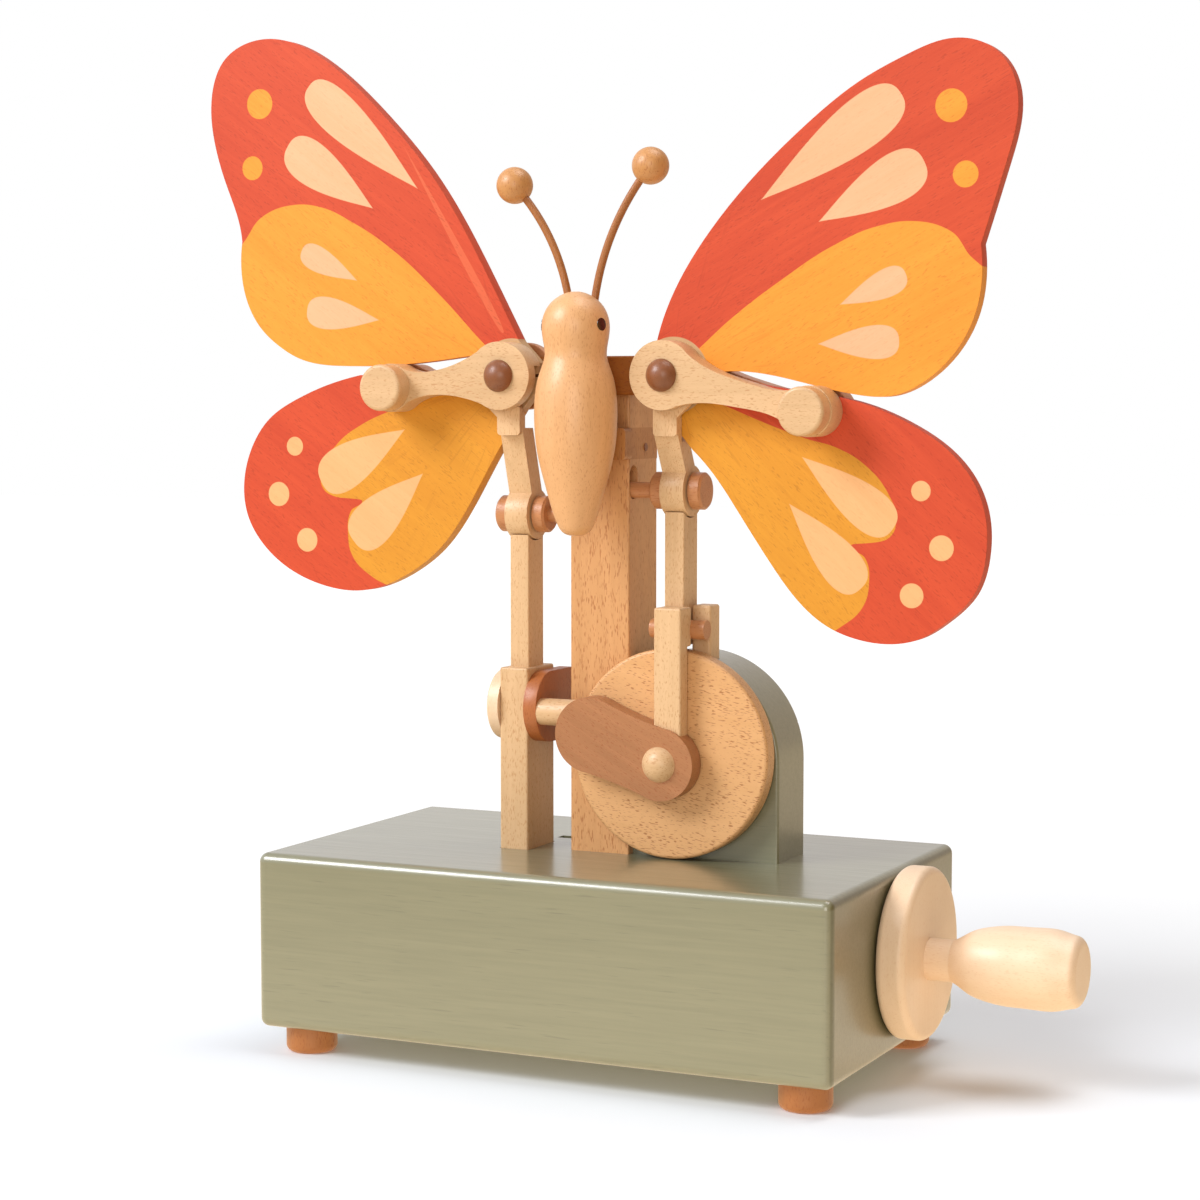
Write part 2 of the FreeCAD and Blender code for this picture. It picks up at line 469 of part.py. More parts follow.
# ---------------------------------------------------------------- post, head and cross beam
def slider_slot(name, inner, outer, knuckle):
    """The upright slot in the post's side that guides the end of a knuckle pin."""
    radius = "(slider_radius + slot_gap)"
    low, high = knuckle, f"({knuckle} + {TRAVEL})"
    ends = [cylinder(f"{name}_end_{n}", "X", ("-rod_centre", z), inner, outer, radius)
            for n, z in enumerate((low, high))]
    middle = block(f"{name}_middle", (inner, outer), (f"(-rod_centre - {radius})", f"({radius} - rod_centre)"),
                   (low, high))
    return fuse(name, middle, *ends)


left_slot = slider_slot("left_slot", f"({POST_LEFT} - 1)", f"({POST_LEFT} + slot_depth)", "left_knuckle")
right_slot = slider_slot("right_slot", f"({POST_RIGHT} - slot_depth)", f"({POST_RIGHT} + 1)", "right_knuckle")
POST_Y = ("-post_front", POST_REAR)
POST_DOWEL = ("post_x", f"({POST_REAR} - post_depth / 2)")
POST_DOWEL_Z = (f"({SADDLE_LOW} - post_dowel_reach)", f"({SADDLE_TOP} + post_dowel_reach)")
post_soft = soften("post_soft", block("post_body", (POST_LEFT, POST_RIGHT), POST_Y, (CEILING, SADDLE_LOW)),
                   "post_round", runs_along("Z"))
post_foot = block("post_foot", (POST_LEFT, POST_RIGHT), POST_Y, (CEILING, BASE_TOP))
post_relief = cylinder("post_relief", "Y", ("wheel_x", WHEEL_Z), "-post_front - 1", "layer_gap - wheel_back",
                       "wheel_radius + slot_gap")
piece("post", cut("post_cut", fuse("post_sum", post_soft, post_foot), left_slot, right_slot, post_relief,
                  cylinder("post_dowel_hole", "Z", POST_DOWEL, *POST_DOWEL_Z, "dowel_radius")))
TONGUE_BACK = "(tongue_thick - tongue_front)"
BEAM_Z = ("(hinge_height - beam_height / 2)", POST_TOP)
head_soft = soften("head_soft", block("head_body", (POST_LEFT, POST_RIGHT), POST_Y, (SADDLE_TOP, POST_TOP)),
                   "post_round", runs_along("Z"))
beam_notch = block("beam_notch", (f"({POST_LEFT} - 1)", f"({POST_RIGHT} + 1)"), ("-post_front - 1", TONGUE_BACK),
                   (BEAM_Z[0], f"({POST_TOP} + 1)"))
piece("post_head", cut("post_head_cut", head_soft, beam_notch,
                       cylinder("head_dowel_hole", "Z", POST_DOWEL, *POST_DOWEL_Z, "dowel_radius")))
dowels = [cylinder(f"arch_dowel_{n}", "Z", across, *DOWEL_Z, "dowel_radius")
          for n, across in enumerate(ARCH_DOWELS)]
piece("dowels", fuse("dowel_group", *dowels, cylinder("post_dowel", "Z", POST_DOWEL, *POST_DOWEL_Z,
                                                      "dowel_radius")))

beam_middle = soften("beam_middle_soft", block("beam_middle", ("-beam_half", "beam_half"),
                                               ("-beam_front", TONGUE_BACK), BEAM_Z),
                     "beam_round", lambda edge: edge.BoundBox.YMax < -size("tongue_front"))
beam_tongue = block("beam_tongue", ("-hinge_x", "hinge_x"), ("-tongue_front", TONGUE_BACK), BEAM_Z)
tongue_ends = [cylinder(f"tongue_end_{side}", "Y", (f"({side} * hinge_x)", "hinge_height"), "-tongue_front",
                        TONGUE_BACK, "beam_height / 2") for side in ("-1", "1")]
pivot_holes = [cylinder(f"beam_pivot_hole_{side}", "Y", (f"({side} * hinge_x)", "hinge_height"),
                        "-tongue_front - 1", f"({TONGUE_BACK} + 1)", "pivot_radius") for side in ("-1", "1")]
piece("cross_beam", cut("beam_cut", fuse("beam_sum", beam_middle, beam_tongue, *tongue_ends), *pivot_holes))

# ---------------------------------------------------------------- flat pieces
def outline(start, *runs):
    """Edges of a closed outline in the XZ plane: each run of several points is a smooth curve, of one a line."""
    edges, last = [], start
    for run in (*runs, [start]):
        knots = [Vector(x, 0, z) for x, z in (last, *run)]
        if len(knots) > 2:
            curve = Part.BSplineCurve()
            curve.interpolate(knots)
            edges.append(curve.toShape())
        elif (knots[1] - knots[0]).Length > 1e-6:
            edges.append(Part.makeLine(*knots))
        last = run[-1]
    return edges


def plate(name, edges, at, front, back):
    """A flat piece cut to an outline given round a point, between two places in depth."""
    thickness = value(f"{back} - ({front})")
    sheet_piece = solid(name, Part.Face(Part.Wire(edges)).extrude(Vector(0, thickness, 0)))
    return place(sheet_piece, at[0], front, at[1])


def bar(name, at, start, stop, half, front, back):
    """A straight strip with round ends between two points given round a point."""
    (x0, z0), (x1, z1) = start, stop
    long = math.hypot(x1 - x0, z1 - z0)
    nx, nz = (z0 - z1) / long * half, (x1 - x0) / long * half
    corners = [(x0 + nx, z0 + nz), [(x0 - nx, z0 - nz)], [(x1 - nx, z1 - nz)], [(x1 + nx, z1 + nz)]]
    strip = plate(name + "_strip", outline(*corners), at, front, back)
    ends = [cylinder(f"{name}_end_{n}", "Y", (f"({at[0]} + ({x}))", f"({at[1]} + ({z}))"), front, back, f"{half}")
            for n, (x, z) in enumerate((start, stop))]
    return fuse(name, strip, *ends)


def lever(name, at, reach, radii, waist, front, back, shoulder=0.64):
    """A flat arm: a disc at each end and a web between them. The waist is the web's half-width along the way, and
    the shoulder says how far along each disc's radius the web starts."""
    (x, z), (first, last) = reach, radii
    long, turn = math.hypot(x, z), math.atan2(z, x)
    rise = math.sqrt(1 - shoulder ** 2)
    upper = [(first * shoulder, first * rise), *waist, (long - last * shoulder, last * rise)]

    def turned_round(points):
        return [(u * math.cos(turn) - v * math.sin(turn), u * math.sin(turn) + v * math.cos(turn))
                for u, v in points]

    top, low = turned_round(upper), turned_round([(u, -v) for u, v in reversed(upper)])
    web = plate(name + "_web", outline(top[0], top[1:], [low[0]], low[1:]), at, front, back)
    ends = [cylinder(f"{name}_first", "Y", at, front, back, f"{first}"),
            cylinder(f"{name}_last", "Y", (f"({at[0]} + ({x}))", f"({at[1]} + ({z}))"), front, back, f"{last}")]
    return fuse(name, web, *ends)


# ---------------------------------------------------------------- butterfly body
BODY = ("post_x", "-body_forward")
BODY_SHAPE = ((0.016, "tail_radius", 0.72), (0.055, "tail_radius", 1.0), (0.2, "belly_radius", 0.73),
              (0.34, "belly_radius", 0.93), (0.46, "belly_radius", 1.0), (0.58, "belly_radius", 0.98),
              (0.67, "belly_radius", 0.87), (0.74, "neck_radius", 1.0), (0.8, "head_radius", 0.96),
              (0.865, "head_radius", 1.0), (0.94, "head_radius", 0.82), (0.985, "head_radius", 0.45),
              (1.0, "head_radius", 0.14))
tall = size("body_height")
body_curve = [(share * tall, size(word) * part) for share, word, part in BODY_SHAPE]
body_form = turned("body_form", "Z", BODY, "body_bottom", [(0.0, 0.0), (0.0, size("tail_radius") / 3), body_curve])
rods, balls = [], []
for side, top in ((-1, "left_ball"), (1, "right_ball")):
    foot, spread = side * size("antenna_foot"), side * size("antenna_spread")
    low, high = size("body_height") - size("antenna_bury"), size(top) - size("body_bottom")
    bend = Vector((foot + spread) / 2 - side * size("antenna_bow"), 0, (low + high) / 2)
    path = Part.BSplineCurve()
    path.interpolate([Vector(foot, 0, low), bend, Vector(spread, 0, high)])
    start_round = Part.Circle(Vector(foot, 0, low), path.tangent(path.FirstParameter)[0], size("antenna_radius"))
    rod = solid(f"antenna_rod_{side}", Part.Wire(path.toShape()).makePipeShell(
        [Part.Wire(start_round.toShape())], True, False))
    rods.append(place(rod, "post_x", "-antenna_forward", "body_bottom"))
    ball = doc.addObject("Part::Sphere", f"antenna_ball_{side}")
    bind(ball, Radius="ball_radius")
    balls.append(place(ball, f"(post_x + {side} * antenna_spread)", "-antenna_forward", top))
ball_group = piece("antenna_balls", fuse("antenna_ball_group", *balls))
rod_group = piece("antenna_rods", cut("antenna_rod_cut", fuse("antenna_rod_group", *rods), ball_group))
EYE_AT = ("(-body_forward - head_radius / 4)", "(body_bottom + body_height * 0.865)")
EYE_ENDS = ("(head_radius * 0.8)", "(head_radius + 1)")
eye_bars = [cylinder("left_eye", "X", EYE_AT, f"(post_x - {EYE_ENDS[1]})", f"(post_x - {EYE_ENDS[0]})", "eye_radius"),
            cylinder("right_eye", "X", EYE_AT, f"(post_x + {EYE_ENDS[0]})", f"(post_x + {EYE_ENDS[1]})", "eye_radius")]
eye_skin = turned("eye_skin", "Z", BODY, "body_bottom",
                  [(0.0, 0.0), (0.0, size("tail_radius") / 3),
                   [(along, radius + size("eye_proud")) for along, radius in body_curve]])
eye_pair = doc.addObject("Part::MultiCommon", "eye_pair")
eye_pair.Shapes = [fuse("eye_bars", *eye_bars), eye_skin]
eye_group = piece("eyes", eye_pair)
piece("butterfly_body", cut("body_cut", body_form, rod_group, eye_group))
saddle_front = soften("saddle_front_soft", block("saddle_front", ("(post_x - saddle_width / 2)",
                                                                  "(post_x + saddle_width / 2)"),
                                                 ("(-post_front - saddle_depth)", "-post_front"),
                                                 (SADDLE_LOW, SADDLE_TOP)),
                      "saddle_round", runs_along("Y"))
saddle_core = block("saddle_core", (POST_LEFT, POST_RIGHT), POST_Y, (SADDLE_LOW, SADDLE_TOP))
saddle_plug = piece("saddle_plug", cylinder("saddle_plug_body", "X", ("plug_back", "(saddle_level - plug_bore)"),
                                            f"({POST_RIGHT} - plug_depth)", f"({POST_RIGHT} + layer_gap)",
                                            "plug_bore"))
piece("saddle_block", cut("saddle_cut", fuse("saddle_sum", saddle_front, saddle_core), body_form, saddle_plug,
                          cylinder("saddle_dowel_hole", "Z", POST_DOWEL, *POST_DOWEL_Z, "dowel_radius")))

# ---------------------------------------------------------------- wings, their arms and hinges
WINGS = {
    "left_upper": ((2.9, 11.2), [(-13.0, 40.4), (-29.2, 65.7), (-49.3, 88.0), (-66.2, 102.8), (-93.9, 113.6),
                                 (-110.0, 107.0), (-115.1, 92.0), (-114.0, 80.5), (-109.3, 65.4), (-104.6, 53.4),
                                 (-103.1, 45.9)],
                   [(-103.6, 36.8), (-102.1, 27.9), (-96.6, 17.3), (-88.3, 10.1), (-81.2, 6.3), (-60.9, 3.5),
                    (-37.9, 4.1), (-15.3, 6.6)], [(-10.5, 0.6)], [(9.5, 0.6)], [(9.6, 4.2)]),
    "right_upper": ((-6.0, 9.6), [(-2.3, 21.0), (12.0, 44.5), (26.2, 60.5), (44.7, 77.0), (62.9, 89.8),
                                  (76.6, 96.3), (89.8, 100.4), (98.6, 99.6), (106.3, 95.0), (111.1, 86.5),
                                  (111.8, 77.4), (108.6, 63.7), (102.6, 44.6), (100.8, 39.0)],
                    [(101.2, 28.8), (99.4, 18.7), (93.3, 7.0), (84.5, -1.4), (73.0, -6.5), (62.0, -6.2),
                     (53.8, -4.7), (36.3, -0.6), (16.1, 1.0)], [(9.6, 0.6)], [(-9.5, 0.6)], [(-9.6, 4.2)]),
    "left_lower": ((-56.9, 0.5), [(-69.8, -2.8), (-81.7, -7.5), (-92.9, -14.3), (-99.9, -23.9), (-103.2, -35.6),
                                  (-102.1, -46.6), (-95.0, -57.8), (-85.0, -65.4), (-71.6, -70.5),
                                  (-56.3, -71.7), (-46.7, -69.3), (-36.9, -64.5), (-27.8, -57.8),
                                  (-17.5, -45.0), (-9.7, -32.0), (-5.2, -24.6)],
                   [(4.0, -10.6)], [(9.0, -5.0)], [(9.5, -0.4)], [(-12.0, -0.4)], [(-40.0, 0.0)]),
    "right_lower": ((53.5, -6.5), [(67.2, -9.9), (79.5, -15.3), (91.1, -22.9), (99.4, -32.8), (103.2, -43.6),
                                   (103.4, -54.5), (99.7, -66.7), (90.6, -75.8), (82.7, -80.7), (72.0, -82.7),
                                   (61.9, -81.5), (52.7, -78.1), (44.3, -71.9), (33.8, -59.3), (23.3, -44.2),
                                   (13.7, -30.8), (6.8, -23.6)],
                    [(-4.0, -10.6)], [(-9.0, -5.0)], [(-9.5, -0.4)], [(12.0, -0.4)]),
}
pins, washers = [], []
for side, word in ((-1, "left"), (1, "right")):
    hub = (f"({side} * hinge_x)", "hinge_height")
    knob_at = (f"({hub[0]} + {side} * {word}_knob_x)", f"(hinge_height - {word}_knob_drop)")
    lift_at = (f"({hub[0]} + {side} * lift_radius)", "(hinge_height - lift_drop)")
    reach = (side * size(f"{word}_knob_x"), -size(f"{word}_knob_drop"))
    long = math.hypot(*reach)
    shape = (reach, (size("hub_radius"), size("arm_end")), [(size("hub_radius") * 1.25, size("arm_neck")),
                                                            (long * 0.56, size("arm_waist")),
                                                            (long - size("arm_end"), size("arm_waist") + 0.8)])
    pin_end = f"({REAR_BACK} + layer_gap + washer_thick)"
    cap = dome(f"{word}_pivot_dome", "Y", hub, "(-hub_front - layer_gap)", size("dome_radius"),
               size("dome_height"), size("pivot_radius"), value(f"{pin_end} + hub_front + layer_gap"))
    pins.append(cap)
    washer = cylinder(f"{word}_washer_body", "Y", hub, f"({REAR_BACK} + layer_gap)", pin_end, "dome_radius")
    washers.append(cut(f"{word}_washer", washer, cylinder(f"{word}_washer_bore", "Y", hub, "0 - 1",
                                                          f"({pin_end} + 1)", "pivot_radius")))
    pivot_bore = cylinder(f"{word}_pivot_bore", "Y", hub, "(-hub_front - 1)", f"({REAR_BACK} + 1)",
                          "pivot_radius + fit")
    knob_dowel = cylinder(f"{word}_knob_dowel", "Y", knob_at, "-hub_front", REAR_BACK, "knob_dowel")
    lift_pin = piece(f"{word}_lift_pin", cylinder(f"{word}_lift_pin_bar", "Y", lift_at, "(lift_bury - hub_front)",
                                                  f"({WING_FRONT} + lift_bury)", "lift_pin"))
    knob_profile = [(0.0, 0.0), (0.0, size("knob_radius") - size("wheel_chamfer")),
                    rounded_end(0.0, size("knob_radius"), size("wheel_chamfer"), way=-1)[1],
                    (size("knob_height"), size("knob_radius"))]
    knob_head = turned(f"{word}_knob_head", "Y", knob_at, "(-hub_front - knob_height)", knob_profile)
    piece(f"{word}_knob", fuse(f"{word}_knob_sum", knob_head, knob_dowel))
    front = lever(f"{word}_front_form", hub, *shape, "-hub_front", WING_FRONT)
    link_room = block(f"{word}_link_room", (f"({hub[0]} - link_clear)", f"({hub[0]} + link_clear)"),
                      (HUB_BACK, f"({WING_FRONT} + 1)"), ("(hinge_height - 2 * hub_radius)",
                                                          "(hinge_height + boss_rise)"))
    piece(f"{word}_front_arm", cut(f"{word}_front_cut", front, link_room, pivot_bore, knob_dowel, lift_pin))
    rear = lever(f"{word}_rear_form", hub, *shape, WING_BACK, REAR_BACK)
    beam_room = block(f"{word}_beam_room", (f"({hub[0]} - link_clear)", f"({hub[0]} + link_clear)"),
                      (f"({WING_BACK} - 1)", REAR_FRONT), ("(hinge_height - 2 * hub_radius)",
                                                           "(hinge_height + 2 * hub_radius)"))
    piece(f"{word}_rear_arm", cut(f"{word}_rear_cut", rear, beam_room, pivot_bore, knob_dowel))
    pin_room = cylinder(f"{word}_pin_room", "Y", hub, f"({WING_FRONT} - 1)", f"({WING_BACK} + 1)",
                        "pivot_radius + layer_gap")
    for level, holes in (("upper", [pin_room]), ("lower", [pin_room, knob_dowel, lift_pin])):
        start, *runs = WINGS[f"{word}_{level}"]
        scale = size("wing_scale")
        runs = [[(x * scale, z * scale) for x, z in run] for run in runs]
        form = plate(f"{word}_{level}_form", outline((start[0] * scale, start[1] * scale), *runs), hub,
                     WING_FRONT, WING_BACK)
        piece(f"{word}_{level}_wing", cut(f"{word}_{level}_cut", form, *holes))
piece("pivot_pins", fuse("pivot_pin_pair", *pins))
piece("pivot_washers", fuse("pivot_washer_pair", *washers))

# ---------------------------------------------------------------- links between the wings and the rods
ROD_Y = "(-rod_centre)"


def lean_form(name, rod, front, bend, knuckle):
    """The leaning bar of a link, from its bend down to the barrel, with its front face ahead of the pin."""
    y, z = value(f"{front} + rod_centre"), value(f"{bend} - {knuckle}")
    lead = size("leg_lead")
    turn = math.atan2(z, y) + math.acos(lead / math.hypot(y, z))
    foot = (lead * math.cos(turn), lead * math.sin(turn))
    rear = (foot[0] - size("leg_deep") * math.cos(turn), foot[1] - size("leg_deep") * math.sin(turn))
    back = y + size("leg_deep") / abs(math.cos(turn))
    corners = [Vector(0, *point) for point in ((y, z), foot, rear, (back, z), (y, z))]
    bar_face = Part.Face(Part.makePolygon(corners))
    return place(solid(name, bar_face.extrude(Vector(size("leg_width"), 0, 0))), rod[0], ROD_Y, knuckle)


for side, word in ((-1, "left"), (1, "right")):
    hub = (f"({side} * hinge_x)", "hinge_height")
    knuckle = f"{word}_knuckle"
    inward = side * (size("rod_x") - size("hinge_x"))
    lift = (side * size("lift_radius"), -size("lift_drop"))
    elbow = (lift[0], -2 * size("lift_drop"))
    low = (inward, -size("strap_low"))
    strips = [bar(f"{word}_strap_{n}", hub, *ends, size("strap_half"), STRAP_FRONT, LEG_FRONT)
              for n, ends in enumerate(((lift, elbow), (elbow, low)))]
    rod = (f"({side} * rod_x - leg_width / 2)", f"({side} * rod_x + leg_width / 2)")
    strap_plate = soften(f"{word}_strap_plate_soft", block(f"{word}_strap_plate", rod, (STRAP_FRONT, LEG_FRONT),
                                                           ("(hinge_height - strap_end)",
                                                            "(hinge_height - strap_top)")),
                         "strap_round", runs_along("Y"))
    eye_bore = cylinder(f"{word}_eye_bore", "Y", (f"({hub[0]} + {side} * lift_radius)", "(hinge_height - lift_drop)"),
                        f"({STRAP_FRONT} - 1)", LEG_BACK, "lift_pin + fit")
    strap = cut(f"{word}_strap_cut", fuse(f"{word}_strap_sum", strap_plate, *strips), eye_bore)
    leg_top, bend = "(hinge_height - strap_low)", f"(hinge_height - {word}_bend)"
    front = LEG_FRONT if side < 0 else STRAP_FRONT
    crown = cylinder(f"{word}_leg_crown", "Y", (f"({side} * rod_x)", leg_top), LEG_FRONT, LEG_BACK,
                     "leg_width / 2")
    shank = block(f"{word}_leg_shank", rod, (front, LEG_BACK), (bend, leg_top))
    lean = lean_form(f"{word}_leg_lean", rod, front, bend, knuckle)
    barrel = cylinder(f"{word}_barrel", "X", (ROD_Y, knuckle), *rod, "barrel_radius")
    start, *runs = [[(x - side * size("wing_clear"), z - size("wing_clear")) for x, z in run]
                    for run in ([WINGS[f"{word}_lower"][0]], *WINGS[f"{word}_lower"][1:])]
    wing_room = plate(f"{word}_wing_room", outline(start[0], *runs), hub, LEG_BACK, f"({WING_BACK} + 1)")
    room = [cylinder(f"{word}_knuckle_bore", "X", (ROD_Y, knuckle), f"({rod[0]} - 1)", f"({rod[1]} + 1)",
                     "knuckle_radius + knuckle_gap"),
            block(f"{word}_tongue_room", (f"({side} * rod_x - tongue_width / 2 - tongue_gap)",
                                          f"({side} * rod_x + tongue_width / 2 + tongue_gap)"),
                  (f"({ROD_Y} - tongue_half - tongue_gap)", f"({ROD_Y} + tongue_half + tongue_gap)"),
                  (f"({knuckle} - barrel_radius - 1)", f"({knuckle} + tongue_half + tongue_gap)")), wing_room]
    leg = cut(f"{word}_leg_cut", fuse(f"{word}_leg_sum", crown, shank, lean, barrel), *room)
    if side < 0:
        piece("left_strap", strap)
        piece("left_leg", leg)
    else:
        piece("right_link", fuse("right_link_sum", strap, leg))

# ---------------------------------------------------------------- yoke: block, arm, rods and pins
def rod_with_tongue(name, x, bottom, knuckle, depth):
    """A square rod hollowed under the barrel, with a thin round-topped tongue that stands inside the barrel."""
    ends = (f"({x} - rod_width / 2)", f"({x} + rod_width / 2)")
    body = soften(f"{name}_soft", block(f"{name}_body", ends, depth, (bottom, f"({knuckle} - rod_depth / 2)")),
                  "rod_round", runs_along("Z"))
    cradle = cylinder(f"{name}_cradle", "X", (ROD_Y, knuckle), f"({ends[0]} - 1)", f"({ends[1]} + 1)",
                      "barrel_radius + cradle_gap")
    thin = (f"({x} - tongue_width / 2)", f"({x} + tongue_width / 2)")
    tongue = block(f"{name}_tongue", thin, (f"({ROD_Y} - tongue_half)", f"({ROD_Y} + tongue_half)"),
                   (f"({knuckle} - barrel_radius - 2 * cradle_gap)", knuckle))
    crown = cylinder(f"{name}_crown", "X", (ROD_Y, knuckle), *thin, "tongue_half")
    hole = cylinder(f"{name}_hole", "X", (ROD_Y, knuckle), f"({thin[0]} - 1)", f"({thin[1]} + 1)", "knuckle_radius")
    return cut(name, fuse(f"{name}_sum", cut(f"{name}_hollow", body, cradle), tongue, crown), hole)


def knuckle_pin(word, side):
    """The pin through a barrel: a head on each side, and an inner end that slides in the post's slot."""
    end = value(f"{POST_LEFT} + slot_depth - slot_gap" if side < 0 else f"{POST_RIGHT} - slot_depth + slot_gap")
    middle, edge, head = side * size("rod_x"), side * size("knuckle_edge"), size("knuckle_head")
    inner = side * (size("leg_width") / 2 + size("knuckle_play"))
    outer = inner + side * size("knuckle_thick")
    chamfer = head - size("knuckle_edge")
    steps = [(middle + outer, 0.0), (middle + outer, chamfer), (middle + outer - edge, head), (middle + inner, head),
             (middle + inner, size("knuckle_radius")), (middle - inner, size("knuckle_radius")),
             (middle - inner, head), (middle - outer + edge, head), (middle - outer, chamfer),
             (middle - outer, size("slider_radius")), (end, size("slider_radius"))]
    return piece(f"{word}_knuckle_pin", turned(f"{word}_knuckle_turned", "X", (ROD_Y, f"{word}_knuckle"), "0", steps))


DEPTH = (f"({ROD_Y} - rod_depth / 2)", f"({ROD_Y} + rod_depth / 2)")
left_rod = piece("left_rod", rod_with_tongue("left_rod_form", "(-rod_x)", "(block_top - rod_tenon)", "left_knuckle",
                                             DEPTH))
block_x = ("(-rod_x - block_width / 2)", "(-rod_x + block_width / 2)")
block_soft = soften("yoke_block_soft", block("yoke_block_body", block_x,
                                             (f"({ROD_Y} - block_depth / 2)", f"({ROD_Y} + block_depth / 2)"),
                                             (f"({BASE_TOP} - block_reach)", "block_top")), "block_round", every_edge)
AXLE_Z = "(block_top - rod_tenon - axle_gap - axle_radius)"
AXLE = (ROD_Y, AXLE_Z)
CAP = (f"({block_x[0]} - cap_thick)", block_x[0])
CHEEK = (block_x[1], f"({block_x[1]} + cheek_thick)")
axle = piece("yoke_axle", cylinder("yoke_axle_bar", "X", AXLE, f"({CAP[0]} + cap_thick / 2)",
                                   f"({CHEEK[0]} + cheek_thick / 3)", "axle_radius"))
rod_seat = block("rod_seat", ("(-rod_x - rod_width / 2)", "(-rod_x + rod_width / 2)"), DEPTH,
                 ("(block_top - rod_tenon)", "(block_top + 1)"))
piece("yoke_block", cut("yoke_block_cut", block_soft, rod_seat, axle))
cap_profile = [(0.0, 0.0), *rounded_end(0.0, size("cap_radius"), size("cap_round"), way=-1),
               (size("cap_thick"), size("cap_radius"))]
piece("cap_disc", cut("cap_disc_cut", turned("cap_disc_body", "X", AXLE, CAP[0], cap_profile), axle))
BAR_Z = f"({AXLE_Z} - bar_drop)"
BAR = ("(-bar_forward)", BAR_Z)
BAR_START, BAR_SPLIT = f"({CHEEK[1]} - bar_socket)", "(wheel_x - wheel_radius - bar_gap)"
bar_form = cylinder("bar_form", "X", BAR, BAR_START, "arm_left_x", "bar_radius")
bar_relief = block("bar_relief", (BAR_SPLIT, "(arm_left_x + 1)"), ("-arm_back", "(bar_radius - bar_forward + 1)"),
                   (f"({BAR_Z} - bar_radius - 1)", f"({BAR_Z} + bar_radius + 1)"))
cross_bar = piece("cross_bar", cut("cross_bar_cut", bar_form, bar_relief))
cheek_nose = cylinder("cheek_nose", "X", ("(-cheek_forward)", AXLE_Z), *CHEEK, "cheek_radius")
cheek_slab = block("cheek_slab", CHEEK, ("-cheek_forward", "cheek_back"),
                   (f"({AXLE_Z} - cheek_radius)", f"({AXLE_Z} + cheek_radius)"))
piece("yoke_cheek", cut("yoke_cheek_cut", fuse("yoke_cheek_sum", cheek_nose, cheek_slab), axle, cross_bar))

ARM_LEFT_Z = f"({BAR_Z} - arm_left_drop)"
ARM_LEFT = ("arm_left_x", ARM_LEFT_Z)
ARM_RIGHT = ("arm_right_x", PIN_Z)
arm_reach = (value("arm_right_x - arm_left_x"), value(f"{PIN_Z} - {ARM_LEFT_Z}"))
arm_form = lever("yoke_arm_form", ARM_LEFT, arm_reach, (size("arm_left_radius"), size("arm_right_radius")),
                 [(math.hypot(*arm_reach) / 2, size("yoke_waist"))], "-arm_front", "-arm_back", shoulder=0.2)
pin_pocket = block("pin_pocket", ("(wheel_x - pocket_half_width)", "(wheel_x + pocket_half_width)"),
                   (f"(-{POCKET_FLOOR})", "(1 - arm_back)"),
                   (f"({PIN_Z} - pocket_half_height)", f"({PIN_Z} + pocket_half_height)"))
LOWER = ("(lower_x - lower_width / 2)", "(lower_x + lower_width / 2)")
LAP_LOW, LAP_TOP = f"({ARCH_TOP} + lap_gap)", f"({ARCH_TOP} + lap_gap + lap_height)"
lower_shank = block("lower_shank", LOWER, ("-lower_front", "-arm_back"),
                    (f"({PIN_Z} + pocket_half_height + slot_gap)", LAP_TOP))
lower_head = block("lower_head_body", LOWER, ("-lower_front", DEPTH[0]), (LAP_LOW, LAP_TOP))
lap_pin = piece("lap_pin", cylinder("lap_pin_bar", "X", ("(-lap_pin_forward)", f"({LAP_LOW} + lap_pin_rise)"),
                                    "(lower_x - lap_pin_length / 2)", "(lower_x + lap_pin_length / 2 - layer_gap)",
                                    "lap_pin_radius"))
lower_rod = piece("lower_rod", cut("lower_rod_cut", soften(
    "lower_rod_soft", fuse("lower_rod_sum", lower_shank, lower_head), "lower_round", every_edge), lap_pin))
upper_rod = rod_with_tongue("upper_rod_form", "rod_x", LAP_LOW, "right_knuckle", DEPTH)
piece("upper_rod", cut("upper_rod_cut", upper_rod, lap_pin))
plug = piece("arm_plug", dome("arm_plug_body", "Y", ARM_RIGHT, "-arm_front", size("plug_radius"),
                              size("plug_height"), size("plug_radius") - size("plug_tenon"), size("plug_tenon")))
piece("yoke_arm", cut("yoke_arm_cut", arm_form, pin_pocket, cross_bar, lower_rod, plug))
for side, word in ((-1, "left"), (1, "right")):
    knuckle_pin(word, side)


# ---------------------------------------------------------------- check and export
doc.recompute()
for thing in doc.Objects:
    assert not {"Invalid", "Error"} & set(thing.State), f"{thing.Name}: {thing.State}"
os.makedirs("parts", exist_ok=True)
for node, thing in pieces.items():
    shape = thing.Shape
    assert not shape.isNull() and shape.isValid() and shape.Solids, f"{node} is not a sound solid"
    shape.exportStep(f"parts/{node}.step")
print(len(pieces), "pieces written")
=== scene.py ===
# %% [markdown]
# # A wooden butterfly automaton
# This lesson dresses a wooden toy: a crank on the side of a green box lifts and lowers a butterfly's
# wings. Every solid piece already comes from the construction model, in metres, at its real place. What
# is left is what the eye reads: light, wood grain, stain and painted spots. So most cells make one finish
# and put it on the pieces that carry it.

